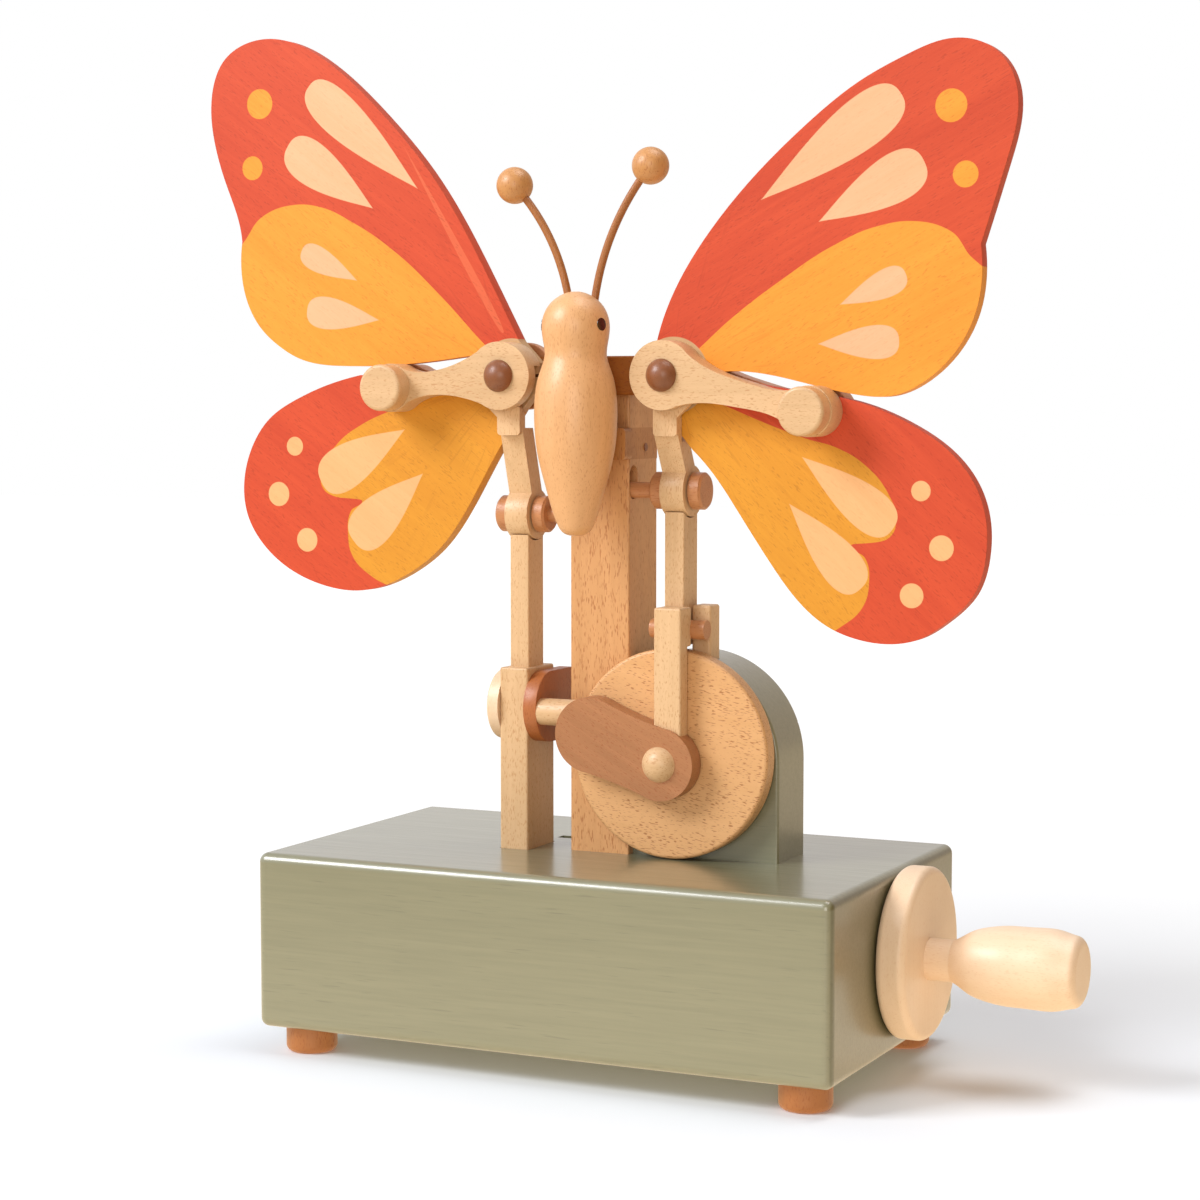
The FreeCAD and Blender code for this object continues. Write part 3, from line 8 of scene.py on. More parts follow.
# %% Load the construction model
import json
import math
import bpy
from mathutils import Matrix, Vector


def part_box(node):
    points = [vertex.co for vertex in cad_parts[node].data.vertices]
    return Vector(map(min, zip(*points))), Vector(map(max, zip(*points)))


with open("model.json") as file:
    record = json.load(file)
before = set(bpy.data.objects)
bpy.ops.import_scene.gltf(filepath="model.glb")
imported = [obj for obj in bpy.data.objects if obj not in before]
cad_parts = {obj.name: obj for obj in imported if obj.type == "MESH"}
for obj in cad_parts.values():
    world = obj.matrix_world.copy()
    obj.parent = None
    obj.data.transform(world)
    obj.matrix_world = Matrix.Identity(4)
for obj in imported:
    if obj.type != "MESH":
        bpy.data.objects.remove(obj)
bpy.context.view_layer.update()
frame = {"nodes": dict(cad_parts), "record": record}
nodes = frame["nodes"]

# %% [markdown]
# ## The camera
# A long lens from the front, some 25 degrees round to the right and a little above, is how such a toy is
# usually shown: it keeps upright edges nearly parallel. Its focal length is known in pixels of an image
# 1200 pixels wide, so it is turned into millimetres on Blender's 36 mm sensor. Aiming with a rotation,
# and no shift, keeps other views honest.

# %% Place the camera
IMAGE, FOCAL, SENSOR = 1200, 2720, 36.0
AZIMUTH, PITCH = math.radians(25.44), math.radians(-4.27)
lens = bpy.data.cameras.new("camera")
lens.sensor_width = SENSOR
lens.lens = SENSOR * FOCAL / IMAGE
camera = bpy.data.objects.new("camera", lens)
camera.location = (0.3792, -0.8042, 0.2150)
camera.rotation_euler = (math.pi / 2 + PITCH, 0.0, AZIMUTH)
bpy.context.collection.objects.link(camera)
bpy.context.scene.camera = camera
print("lens", round(lens.lens, 1), "mm")

# %% [markdown]
# ## Three soft lamps
# Satin wood shows its round forms when one large lamp, like a window at the upper left, is clearly
# stronger than the rest. A weak warm one in front opens the shadows under the wings, and a weak one
# overhead lights the top of the box. Small lamps would be simpler to aim, but make hard shadows and hot
# spots.

# %% Hang the lamps
LAMP_WIDTH = 0.9
LAMPS = {
    "window": dict(place=(-1.15, -1.25, 1.35), aim=0.15, watts=37.5, tint=(0.985, 1.0, 1.03)),
    "fill": dict(place=(0.7, -1.9, 0.5), aim=0.12, watts=11.0, tint=(1.0, 0.96, 0.90)),
    "top": dict(place=(0.35, 0.15, 1.6), aim=0.10, watts=11.0, tint=(1.0, 1.0, 1.0)),
}


def hang_lamp(name, place, aim, watts, tint):
    """A square soft lamp that looks at a height above the middle of the box."""
    data = bpy.data.lights.new(name, "AREA")
    data.size, data.energy, data.color = LAMP_WIDTH, watts, tint
    lamp = bpy.data.objects.new(name, data)
    lamp.location = place
    lamp.rotation_euler = (Vector((0.0, 0.0, aim)) - Vector(place)).to_track_quat("-Z", "Y").to_euler()
    bpy.context.collection.objects.link(lamp)


for name, lamp in LAMPS.items():
    hang_lamp(name, **lamp)
print("lamps", {name: lamp["watts"] for name, lamp in LAMPS.items()})

# %% [markdown]
# ## Sums on sockets
# A finish is a small net of shader nodes, and much of it is arithmetic. Wiring each Math node by hand is
# long and hard to read, so a socket is wrapped in a class that understands + - * / and **, in both
# orders. The sum 1 - mask then adds the node that it means.

# %% Wrap a socket
class Flow:
    """One output socket of a net. Arithmetic on it adds a Math node and gives that node's output."""

    def __init__(self, net, socket):
        self.net, self.socket = net, socket

    def math(self, operation, *values):
        return self.net.add("ShaderNodeMath", {"operation": operation}, dict(enumerate(values)))

    def __add__(self, other):
        return self.math("ADD", self, other)

    def __radd__(self, other):
        return self.math("ADD", other, self)

    def __sub__(self, other):
        return self.math("SUBTRACT", self, other)

    def __rsub__(self, other):
        return self.math("SUBTRACT", other, self)

    def __mul__(self, other):
        return self.math("MULTIPLY", self, other)

    def __rmul__(self, other):
        return self.math("MULTIPLY", other, self)

    def __truediv__(self, other):
        return self.math("DIVIDE", self, other)

    def __rtruediv__(self, other):
        return self.math("DIVIDE", other, self)

    def __pow__(self, other):
        return self.math("POWER", self, other)

    def __rpow__(self, other):
        return self.math("POWER", other, self)

    def __abs__(self):
        return self.math("ABSOLUTE", self)

    def root(self):
        return self.math("SQRT", self)

    def most(self, other):
        """The larger of two: as masks, one shape joined to another."""
        return self.math("MAXIMUM", self, other)

    def clip(self):
        """Held between nought and one."""
        return self.net.add("ShaderNodeClamp", {}, {0: self})


print("a socket understands", [word for word in vars(Flow) if callable(vars(Flow)[word])])

# %% [markdown]
# ## A net for each finish
# Every node that isn't a sum comes from one method: it takes the kind of node, its settings, which are
# set first, and the values or links of its sockets. A value that is the same all over goes straight onto
# the shader, and only what changes over the surface is linked. The same class serves a material and the
# sky.

# %% Wrap a net
class Net:
    """The shader net of a material or of the sky, built step by step."""

    def __init__(self, holder, shader="Principled BSDF"):
        holder.use_nodes = True
        self.holder, self.tree = holder, holder.node_tree
        self.shader = self.tree.nodes[shader]

    def add(self, kind, settings, sockets, out=0):
        """A node of any kind: settings first, then the values or links of its sockets."""
        node = self.tree.nodes.new(kind)
        for word, setting in settings.items():
            if word == "knots":
                lay_curve(node.mapping, setting)
            else:
                setattr(node, word, setting)
        for key, given in sockets.items():
            self.feed(node.inputs[key], given)
        return Flow(self, node.outputs[out])

    def feed(self, socket, given):
        """A link where something flows, and otherwise a value; a colour gets its fourth number."""
        if isinstance(given, Flow):
            self.tree.links.new(given.socket, socket)
        elif socket.type == "RGBA":
            socket.default_value = (*given, 1.0)
        else:
            socket.default_value = given

    def set(self, **sockets):
        """Values or flows for the shader's own sockets; an underline stands for a space."""
        for word, given in sockets.items():
            self.feed(self.shader.inputs[word.replace("_", " ")], given)

    def place(self):
        """The point on the piece, in metres in the toy's own frame."""
        return self.add("ShaderNodeTexCoord", {}, {}, out="Object")

    def split(self, point):
        """The three coordinates of a point."""
        first = self.add("ShaderNodeSeparateXYZ", {}, {0: point})
        return [Flow(self, socket) for socket in first.socket.node.outputs]

    def tip(self, point, degrees):
        """The point turned in the front plane, so that a pattern's X axis slopes."""
        turn = (0.0, math.radians(degrees), 0.0)
        return self.add("ShaderNodeMapping", {}, {"Vector": point, "Rotation": turn})

    def noise(self, point, scale, detail=1.0, rough=0.5, bend=0.0):
        return self.add("ShaderNodeTexNoise", {}, {"Vector": point, "Scale": scale, "Detail": detail,
                                                   "Roughness": rough, "Distortion": bend})

    def mix(self, share, first, second, blend="MIX"):
        """Two colours mixed by a share; a Mix node's colours are its inputs 6 and 7, and its output 2."""
        return self.add("ShaderNodeMix", {"data_type": "RGBA", "blend_type": blend},
                        {0: share, 6: first, 7: second}, out=2)

    def bump(self, height, distance, strength):
        """Relief from a height pattern; distance is how deep it is, in metres."""
        self.set(Normal=self.add("ShaderNodeBump", {}, {"Height": height, "Distance": distance,
                                                       "Strength": strength}))


def lay_curve(mapping, knots):
    """Put the knots of a Float Curve node in place."""
    curve = mapping.curves[0]
    while len(curve.points) < len(knots):
        curve.points.new(0.5, 0.5)
    for point, knot in zip(curve.points, knots):
        point.location = knot
    mapping.update()


print("net ready with", [word for word in vars(Net) if not word.startswith("_")])

# %% [markdown]
# ## The sky
# A toy on a white sheet is lit by the room as well as by the lamps, and here that is a sky. The camera
# sees it pure white, for a clean background. The toy gets half of that, cool from the window's side and
# warm and dim from the other, so the sides that turn away from the window stay deep and warm. Reflections
# see nearly all of it, which is the sheen on the top of the box. A Light Path node tells these apart; a
# white wall behind the toy could do it too, but would throw its own light on the back.

# %% Build the sky
WHITE = (1.0, 1.0, 1.0)
WINDOW_SIDE, ROOM_SIDE = (1.06, 1.08, 1.12), (0.36, 0.20, 0.065)
ROOM_LIGHT, SEEN_LIGHT, GLOSS_SHARE = 0.50, 1.0, 0.95

sky = Net(bpy.data.worlds.new("studio"), "Background")
across, _, _ = sky.split(sky.add("ShaderNodeTexCoord", {}, {}, out="Generated"))
seen = sky.add("ShaderNodeLightPath", {}, {}, out="Is Camera Ray")
mirrored = sky.add("ShaderNodeLightPath", {}, {}, out="Is Glossy Ray")
room = sky.mix((across * 0.5 + 0.5).clip(), WINDOW_SIDE, ROOM_SIDE)
sky.set(Color=sky.mix(seen, room, WHITE),
        Strength=seen.most(mirrored * GLOSS_SHARE) * (SEEN_LIGHT - ROOM_LIGHT) + ROOM_LIGHT)
bpy.context.scene.world = sky.holder
print("sky gives", ROOM_LIGHT, "to the toy and", SEEN_LIGHT, "to the eye")

# %% [markdown]
# ## The floor
# The floor is a pale sheet of paper. Near the toy it is lit, so it takes the soft shadow that ties the
# feet to the ground. Further out it fades into an even white glow and meets the sky with no horizon; a
# curved backdrop is the studio's way to do this, and a fade needs no geometry. What the floor throws back
# on the toy is warmer and dimmer than what the eye sees of it, like the sky's own light.

# %% Lay the floor
FLOOR_WIDTH, FADE_START, FADE_LENGTH = 8.0, 0.15, 0.32
PAPER, PAPER_BOUNCE = (0.82, 0.86, 0.91), (0.62, 0.57, 0.48)
NEAR_GLOW, GLOW_BOUNCE, BLACK = (0.035, 0.036, 0.038), (0.74, 0.60, 0.42), (0.0, 0.0, 0.0)


def far_from(x, z, at=(0.0, 0.0)):
    """The distance of a point in a plane from another."""
    return (((x - at[0]) ** 2.0) + ((z - at[1]) ** 2.0)).root()


bpy.ops.mesh.primitive_plane_add(size=FLOOR_WIDTH)
floor = bpy.context.object
floor.name = "floor"
paper = Net(bpy.data.materials.new("paper"))
floor_x, floor_y, _ = paper.split(paper.place())
fade = ((far_from(floor_x, floor_y) - FADE_START) / FADE_LENGTH).clip()
seen = paper.add("ShaderNodeLightPath", {}, {}, out="Is Camera Ray")
paper.set(Base_Color=paper.mix(fade, paper.mix(seen, PAPER_BOUNCE, PAPER), BLACK),
          Emission_Color=paper.mix(seen, GLOW_BOUNCE, paper.mix(fade, NEAR_GLOW, WHITE)),
          Emission_Strength=1.0, Roughness=0.6, Specular_IOR_Level=0.2)
floor.data.materials.append(paper.holder)
bpy.context.scene.view_settings.view_transform = "Standard"
print("floor fades from", FADE_START, "to", round(FADE_START + FADE_LENGTH, 2), "m")

# %% [markdown]
# ## How wood is made up
# Real beech shows three things at once: a slow change of tone from board to board, soft growth lines that
# run along the grain, and short dark pores, a millimetre or two long. A ready wood texture gives rings,
# which such small sawn pieces don't show. Here each thing is a noise that is drawn out along the grain,
# which works because every piece of the toy is cut along X, Y or Z.

# %% A noise along the grain
# Each pattern is its share of change along the grain, its marks per metre, its detail, roughness and bend.
BOARD_CLOUD = (0.12, 55.0, 2.0, 0.5, 0.4)
GROWTH_LINES = (0.05, 520.0, 3.0, 0.6, 0.3)
PORE_CROWDS = (0.4, 130.0)
PORES = (2900.0, 1.0, 0.4)
PORE_LIMIT, PORE_CRISPNESS = 0.65, 11.0
LINE_DEPTH, RELIEF = 0.00010, 0.45


def grain(net, point, along, share, scale, *looks):
    """A noise with so many marks in a metre, which changes by a share only along one axis."""
    drawn = net.add("ShaderNodeMapping", {}, {"Vector": point,
                                              "Scale": [share if axis == along else 1.0 for axis in "XYZ"]})
    return net.noise(drawn, scale, *looks)


def bare_wood(name, along, shades, flecks=0.7, coat=0.1, tip=0.0, short=0.24):
    """Oiled wood with its grain along an axis; flecks sets how dark its pores are, and short how short."""
    light, dark, pore = shades
    net = Net(bpy.data.materials.new(name))
    point = net.tip(net.place(), tip) if tip else net.place()
    cloud = grain(net, point, along, *BOARD_CLOUD)
    lines = grain(net, point, along, *GROWTH_LINES)
    crowds = grain(net, point, along, *PORE_CROWDS)
    specks = grain(net, point, along, short, *PORES)
    pores = ((specks + crowds * 0.12 - PORE_LIMIT) * PORE_CRISPNESS).clip() * flecks
    level = ((cloud - 0.5) * 1.1 + (lines - 0.5) * 0.9 + 0.5).clip()
    net.set(Base_Color=net.mix(pores, net.mix(level, dark, light), pore),
            Roughness=0.42 + (lines - 0.5) * 0.16 + pores * 0.15,
            Coat_Weight=coat, Coat_Roughness=0.28)
    net.bump(lines * 0.5 - pores, LINE_DEPTH, RELIEF)
    return net.holder


print("growth lines are about", round(1000 / GROWTH_LINES[1], 1), "mm apart")

# %% [markdown]
# ## Three tones from one
# Wood doesn't turn grey where it gets darker: the line between two growth rings is a little warmer than
# the light wood, and a pore is warmer still. So each wood is named by its light tone alone, and the other
# two are worked out from it. A short helper puts a finish on pieces and keeps a list, so that none is
# forgotten.

# %% Mix tones and dress pieces
LINE_WARMTH, PORE_WARMTH = (1.02, 0.97, 0.88), (1.10, 0.82, 0.58)
dressed = []


def tones(light, line=0.74, pore=0.60):
    """The light tone, the tone between growth lines and the tone of the pores."""
    return [light, tuple(c * line * w for c, w in zip(light, LINE_WARMTH)),
            tuple(c * pore * w for c, w in zip(light, PORE_WARMTH))]


def dress(material, *names):
    """Put a finish on pieces."""
    for name in names:
        nodes[name].data.materials.clear()
        nodes[name].data.materials.append(material)
    dressed.extend(names)
    print(material.name, "on", ", ".join(names))


BEECH = tones((0.75, 0.505, 0.285))
print("beech, its lines and its pores:", [[round(c, 3) for c in tone] for tone in BEECH])

# %% [markdown]
# ## Beech for what moves
# The rods, links, arms and knobs are pale oiled beech, hard enough for thin moving pieces. The works
# inside the box are the same wood. Grain runs the long way of each piece, as a maker would saw it,
# because across the grain a thin rod would snap: upright for rods and links, level for arms and turned
# knobs. One finish could turn its grain by the shape of the piece, but three plain ones are easier to
# read.

# %% Dress rods, links, arms and works
dress(bare_wood("beech_upright", "Z", BEECH), "yoke_block", "left_rod", "lower_rod", "upper_rod",
      "left_leg", "left_strap", "right_link", "guide_block", "spindle", "spindle_step", "shaft_bearing",
      "dowels")
dress(bare_wood("beech_level", "X", BEECH), "left_front_arm", "right_front_arm", "left_knob", "right_knob",
      "cross_bar", "arm_plug", "drive_wheel", "friction_platter", "friction_roller", "crank_shaft")
dress(bare_wood("beech_deep", "Y", BEECH), "wheel_shaft")

# %% [markdown]
# ## The post, its beam and the saddle
# The post is a redder, heavily pored beech. The saddle that carries the butterfly and the cherry beam behind
# the hinges are given darker tones, which are painted shade for the shade of the wings over them. One finish
# for all of them would be quicker, but then the saddle and the beam would be as light as the post.

# %% Dress the post group
POST_TONES = tones((0.69, 0.365, 0.155), 0.76, 0.55)
# The saddle's and the beam's darker tones are painted shade, for the shade of the wings over them.
SADDLE_SHADED_TONES = tones((0.56, 0.255, 0.08), 0.76, 0.55)
dress(bare_wood("post_beech", "Z", POST_TONES, flecks=0.9, short=0.15), "post", "post_head")
dress(bare_wood("saddle_beech_shaded", "Z", SADDLE_SHADED_TONES, flecks=0.9, short=0.15), "saddle_block")
dress(bare_wood("beam_cherry_shaded", "X", tones((0.36, 0.115, 0.014))), "cross_beam")

# %% [markdown]
# ## The big wheel
# The wheel is cut from a wide board, so its face is long grain from edge to edge, a few degrees off
# level, and full of dark pores. A ring pattern around its hub would look turned, which this wheel isn't.

# %% Dress the wheel
WHEEL_TONES = tones((0.72, 0.41, 0.185), 0.86, 0.52)
dress(bare_wood("wheel_beech", "X", WHEEL_TONES, flecks=1.0, tip=-8.0, short=0.19), "big_wheel")

# %% [markdown]
# ## Maple for what is turned
# The crank, its handle, the pale disc on the slide and the washers are maple: nearly white, with hardly a
# pore, and polished a little more by the lathe. It could have a recipe of its own, but the same one with
# three close tones, faint flecks and more coat keeps it in the family of the other woods.

# %% Dress the turned pieces
MAPLE = tones((0.84, 0.64, 0.46), 0.90, 0.7)
LATHE = dict(flecks=0.25, coat=0.15)
dress(bare_wood("maple_level", "X", MAPLE, **LATHE), "crank_handle", "yoke_axle")
dress(bare_wood("maple_upright", "Z", MAPLE, **LATHE), "crank_disc", "cap_disc", "pivot_washers")

# %% [markdown]
# ## Darker woods for pins, cheek and arm
# A maker uses darker woods where pieces meet: cherry for pins, redder cherry for the round cheek on the
# slide, walnut for the arm that joins wheel and slide, and dark brown domed pins at the hinges. The rear
# arms get the pins' cherry too, as painted shade: they sit in the shade between the wings. One brown
# for all would do from afar; four keep them apart up close. The walnut's grain follows the arm's slope,
# because the arm was sawn along it.

# %% Dress pins, cheek and arm
UMBER = tones((0.245, 0.080, 0.025), 0.7)
WALNUT = tones((0.49, 0.215, 0.09), 0.60)
ARM_SLOPE = -28.0
# On the rear arms the cherry's darker tone is painted shade, for the gap between the wings.
dress(bare_wood("cherry", "X", tones((0.58, 0.26, 0.11))), "lap_pin", "left_knuckle_pin",
      "right_knuckle_pin", "shaft_collar", "left_rear_arm", "right_rear_arm")
dress(bare_wood("cheek_cherry", "Z", tones((0.46, 0.145, 0.038))), "yoke_cheek")
dress(bare_wood("walnut", "X", WALNUT, flecks=0.8, tip=ARM_SLOPE), "yoke_arm")
dress(bare_wood("umber_pins", "Y", UMBER, coat=0.25), "pivot_pins", "wheel_collar", "left_lift_pin",
      "right_lift_pin", "wheel_pin", "saddle_plug")

# %% [markdown]
# ## The butterfly's body and the feet
# The body is a smooth turned peg with few pores and a light polish. Its feelers and their balls are
# darker and more orange, and so are the box's feet, which take more oil through their open end grain. All
# are the same recipe for wood, since only their tones and their polish differ.

# %% Dress the body, feelers and feet
BODY_TONES, BALL_TONES = tones((0.75, 0.42, 0.195), 0.82), tones((0.60, 0.29, 0.10), 0.82)
dress(bare_wood("body_beech", "Z", BODY_TONES, flecks=0.5, coat=0.2), "butterfly_body")
dress(bare_wood("ball_beech", "Z", BALL_TONES, coat=0.2), "antenna_balls")
dress(bare_wood("foot_beech", "Z", tones((0.40, 0.145, 0.034))), "feet", "antenna_rods")

# %% [markdown]
# ## Sage green stain
# The box and the block behind the wheel are stained a greyed green through which fine level grain still
# shows. Paint would hide the grain; a stain is thin, so the grain changes its depth and not its hue. A
# satin coat gives the top its long soft sheen. Both ends of the box are darkened in its colour: painted
# shade, for the deep shade on the side that turns away from the window.

# %% Stain the box
SAGE_DEEP, SAGE_PALE = (0.158, 0.158, 0.090), (0.220, 0.217, 0.130)
# The last of these tints darkens both ends of the box: painted shade for its side away from the window.
END_DEPTH, END_EDGE, END_SHADE_TINT = 0.0010, 0.0005, (0.55, 0.54, 0.40)
STAIN_LINES, STAIN_STREAKS = (0.03, 900.0, 3.0, 0.65, 0.2), (0.06, 260.0, 2.0, 0.5, 0.6)
STAIN_CLOUD, STAIN_PORES = (0.3, 22.0, 2.0), (0.05, 1500.0, 1.0, 0.4)
STAIN_LIMIT, STAIN_CRISPNESS, STAIN_FLECKS = 0.80, 9.0, 0.35

box_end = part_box("base_shell")[1][0]
stain = Net(bpy.data.materials.new("sage_stain"))
point = stain.place()
lines, streaks, cloud, specks = (grain(stain, point, "X", *pattern) for pattern in
                                 (STAIN_LINES, STAIN_STREAKS, STAIN_CLOUD, STAIN_PORES))
pores = ((specks + streaks * 0.3 - STAIN_LIMIT) * STAIN_CRISPNESS).clip() * STAIN_FLECKS
level = ((lines - 0.5) * 0.9 + (streaks - 0.5) * 0.6 + (cloud - 0.5) * 0.7 + 0.5).clip()
face = stain.mix(pores, stain.mix(level, SAGE_DEEP, SAGE_PALE), tuple(c * 0.55 for c in SAGE_DEEP))
# Painted shade: within a millimetre of either end, the box's colour is darkened by the end tint.
painted_end_shade = ((abs(stain.split(point)[0]) - (box_end - END_DEPTH)) / END_EDGE).clip()
stain.set(Base_Color=stain.mix(painted_end_shade, face, stain.mix(1.0, face, END_SHADE_TINT, "MULTIPLY")),
          Roughness=0.30 + 0.16 * (1 - lines), Specular_IOR_Level=0.8, Coat_Weight=0.9, Coat_Roughness=0.20)
stain.bump(lines - pores, 0.00009, 0.35)
dress(stain.holder, "base_shell", "base_cover", "arch_block")

# %% [markdown]
# ## Shapes by distance
# Each wing is a thin board stained coral, with a golden field and with spots and drops in gold or cream.
# They could be an image laid on the wing, but an image blurs up close. Drawn by distance they stay crisp:
# a spot is all points nearer than its radius, and a drop is a spot whose radius shrinks towards its tip.
# On the wings x and z are millimetres from the wing's hinge.

# %% Spots and drops
SOFT_EDGE = 0.24
# Along a drop the width is run ** BLUNT times (1 - run) ** TAPER, and FULL brings its greatest value to one.
BLUNT, TAPER, FULL = 0.38, 1.1, 2.32


def inside(distance):
    """One inside a shape and nought outside it, with an edge a quarter of a millimetre soft."""
    return (0.5 - distance / SOFT_EDGE).clip()


def spot(x, z, at, radius):
    return inside(far_from(x, z, at) - radius)


def drop(x, z, start, tip, half):
    """A drop with a round start and a sharp tip; half is half its width where it is widest."""
    long = math.dist(start, tip)
    ux, uz = (tip[0] - start[0]) / long, (tip[1] - start[1]) / long
    run = ((x - start[0]) * ux + (z - start[1]) * uz) / long
    aside = (x - start[0]) * uz - (z - start[1]) * ux
    held = run.clip()
    girth = (held ** BLUNT) * ((1.0 - held) ** TAPER) * (FULL * half)
    return inside(far_from(aside, (run - held) * long) - girth)


print("a drop is widest", round(BLUNT / (BLUNT + TAPER), 2), "of the way along")

# %% [markdown]
# ## The edge of the gold
# The golden field ends in a long free curve. Blender's Float Curve node draws a smooth line through
# knots, so the curve is kept as a short list of points, and a point is gold where it lies below the line.
# The node works from nought to one, so the knots are scaled into its square and its answer is scaled
# back.

# %% Draw a border
MARGIN = 2.0


def below(net, run, level, knots):
    """One where level is below the line through the knots, which are (run, level) in millimetres."""
    runs, levels = zip(*sorted(knots))
    start, stop, low, high = runs[0], runs[-1], min(levels) - MARGIN, max(levels) + MARGIN
    spread = [((r - start) / (stop - start), (h - low) / (high - low)) for r, h in zip(runs, levels)]
    line = net.add("ShaderNodeFloatCurve", {"knots": spread}, {"Value": (run - start) / (stop - start)})
    return inside(level - (line * (high - low) + low))


print("borders are scaled with", MARGIN, "mm to spare")

# %% [markdown]
# ## What is on each wing
# Mirroring one list would be shorter, but the two sides of a hand-painted toy never match, so each wing
# has its own. A drop is its round start, its sharp tip and half its width; a spot is its middle and its
# radius. The border runs across an upper wing, and up a lower one, where it is counted outwards. The
# slope is the way the board's grain runs: along the wing.

# %% List the patterns
WINGS = {
    "left_upper": dict(
        slope=-36.0, gold_spots=[((-95.6, 92.0), 5.0), ((-98.7, 70.6), 4.0)],
        drops=[((-76.2, 96.9), (-34.7, 61.7), 7.2), ((-84.6, 77.4), (-51.7, 55.7), 7.4),
               ((-79.4, 42.4), (-58.0, 32.0), 4.3), ((-77.5, 22.3), (-49.6, 18.7), 5.4)],
        border=[(-118.0, 30.0), (-110.0, 38.0), (-102.4, 45.8), (-93.9, 54.7), (-82.7, 57.7), (-72.5, 56.8),
                (-59.8, 51.4), (-43.3, 41.1), (-27.2, 27.3), (-10.1, 10.5), (6.0, -4.0)],
        # The last entry is a painted highlight: a lighter streak along the ridge of the leading edge.
        ridge_highlight=((-3.0, 14.0), (-40.0, 76.0), 1.3)),
    "right_upper": dict(
        slope=28.0, gold_spots=[((91.1, 80.5), 5.0), ((95.8, 59.9), 4.0)],
        drops=[((75.1, 84.9), (29.7, 54.2), 8.0), ((82.7, 64.2), (48.9, 47.0), 7.5),
               ((77.2, 30.4), (56.0, 21.5), 4.4), ((75.2, 10.1), (48.9, 9.5), 5.2)],
        border=[(-8.0, -5.0), (5.8, 5.8), (20.4, 18.1), (36.2, 29.1), (54.6, 40.0), (68.1, 45.1),
                (80.0, 46.3), (90.8, 43.3), (98.0, 35.0), (114.0, 24.0)]),
    "left_lower": dict(
        slope=145.0, cream_spots=[((-82.8, -23.5), 3.2), ((-89.3, -39.8), 4.1), ((-78.2, -55.2), 4.0)],
        drops=[((-72.4, -35.5), (-40.0, -17.6), 7.6), ((-59.8, -55.3), (-33.2, -32.2), 7.8)],
        border=[(4.0, -12.0), (-4.0, 20.0), (-11.8, 46.4), (-16.2, 56.8), (-22.3, 65.8), (-31.4, 72.1),
                (-37.5, 71.8), (-40.6, 66.0), (-41.4, 56.6), (-45.1, 60.9), (-52.9, 62.1), (-60.6, 60.2),
                (-66.5, 53.7), (-70.0, 46.4), (-76.0, 30.0)]),
    "right_lower": dict(
        slope=-42.0, cream_spots=[((82.6, -35.4), 3.1), ((89.3, -52.7), 3.9), ((79.9, -67.5), 3.8)],
        drops=[((73.7, -47.1), (43.8, -25.4), 6.8), ((63.4, -65.8), (39.6, -40.0), 6.8)],
        border=[(4.0, -14.0), (-8.0, 14.0), (-19.5, 44.4), (-22.5, 55.3), (-27.7, 64.5), (-36.2, 72.0),
                (-44.7, 74.7), (-49.6, 72.8), (-51.6, 67.3), (-52.4, 60.1), (-56.4, 64.8), (-64.0, 66.1),
                (-71.8, 63.9), (-77.6, 57.4), (-83.0, 47.0)]),
}
print({wing: f"{len(marks['drops'])} drops" for wing, marks in WINGS.items()})

# %% [markdown]
# ## Veins at the hinge
# Close to the hinge thin dark lines fan out over each wing, like the veins of a real one. They could be
# drawn one by one, but a noise that is read by the angle around the hinge, and hardly by the distance
# from it, gives many at once; it fades out with distance.

# %% Draw the veins
VEINS_START, VEINS_LENGTH = 15.0, 65.0
VEINS_ROUND, VEINS_LIMIT = 24.0, 0.62


def veins(net, x, z):
    """Thin dark lines that fan out from the hinge and fade within eight centimetres of it."""
    far = far_from(x, z)
    around = net.add("ShaderNodeCombineXYZ", {}, {0: z.math("ARCTAN2", z, x), 1: far * 0.002})
    rays = ((net.noise(around, VEINS_ROUND) - VEINS_LIMIT) * 14.0).clip()
    return rays * (1.0 - (far - VEINS_START) / VEINS_LENGTH).clip()


print("veins end", VEINS_START + VEINS_LENGTH, "mm from the hinge")

# %% [markdown]
# ## Colours of the wings
# Coral, gold and cream are stains and paints over wood, so each is a pair of tones between which the
# grain moves. A single set would do, but the gold and cream on the lower wings are darker, so gold and
# cream have one pair above and one below. The board is left bare around the hinge, under the arm's round
# plate; where the hinge is, the construction model knows.

# %% Choose the colours
# The third coral is a painted highlight, for light on a ridge along the leading edge of one upper wing.
CORAL, CORAL_HIGHLIGHT = ((0.50, 0.047, 0.015), (0.66, 0.084, 0.027)), (0.76, 0.18, 0.075)
GOLD = {"upper": ((0.76, 0.262, 0.021), (0.87, 0.355, 0.041)),
        "lower": ((0.60, 0.235, 0.015), (0.72, 0.325, 0.027))}
CREAM = {"upper": ((0.76, 0.40, 0.210), (0.84, 0.49, 0.290)),
         "lower": ((0.75, 0.385, 0.160), (0.83, 0.475, 0.225))}
LINE_TINT = (0.62, 0.50, 0.42)
BARE_ROUND = 12.2
WING_LINES, WING_CLOUD = (0.05, 620.0, 3.0, 0.65, 0.3), (0.25, 55.0, 2.0, 0.5, 0.6)
WING_PORES, WING_LIMIT, WING_FLECKS = (0.2, 2600.0, 1.0, 0.4), 0.72, 0.45
hinges = {joint["name"]: joint["pos_m"] for joint in frame["record"]["behaviour"]["joints"]
          if joint["name"].endswith("wing_hinge")}
print("hinges at", hinges)
below_share = [round(low / high, 2) for low, high in zip(GOLD["lower"][1], GOLD["upper"][1])]
print("gold below is", below_share, "of the gold above")
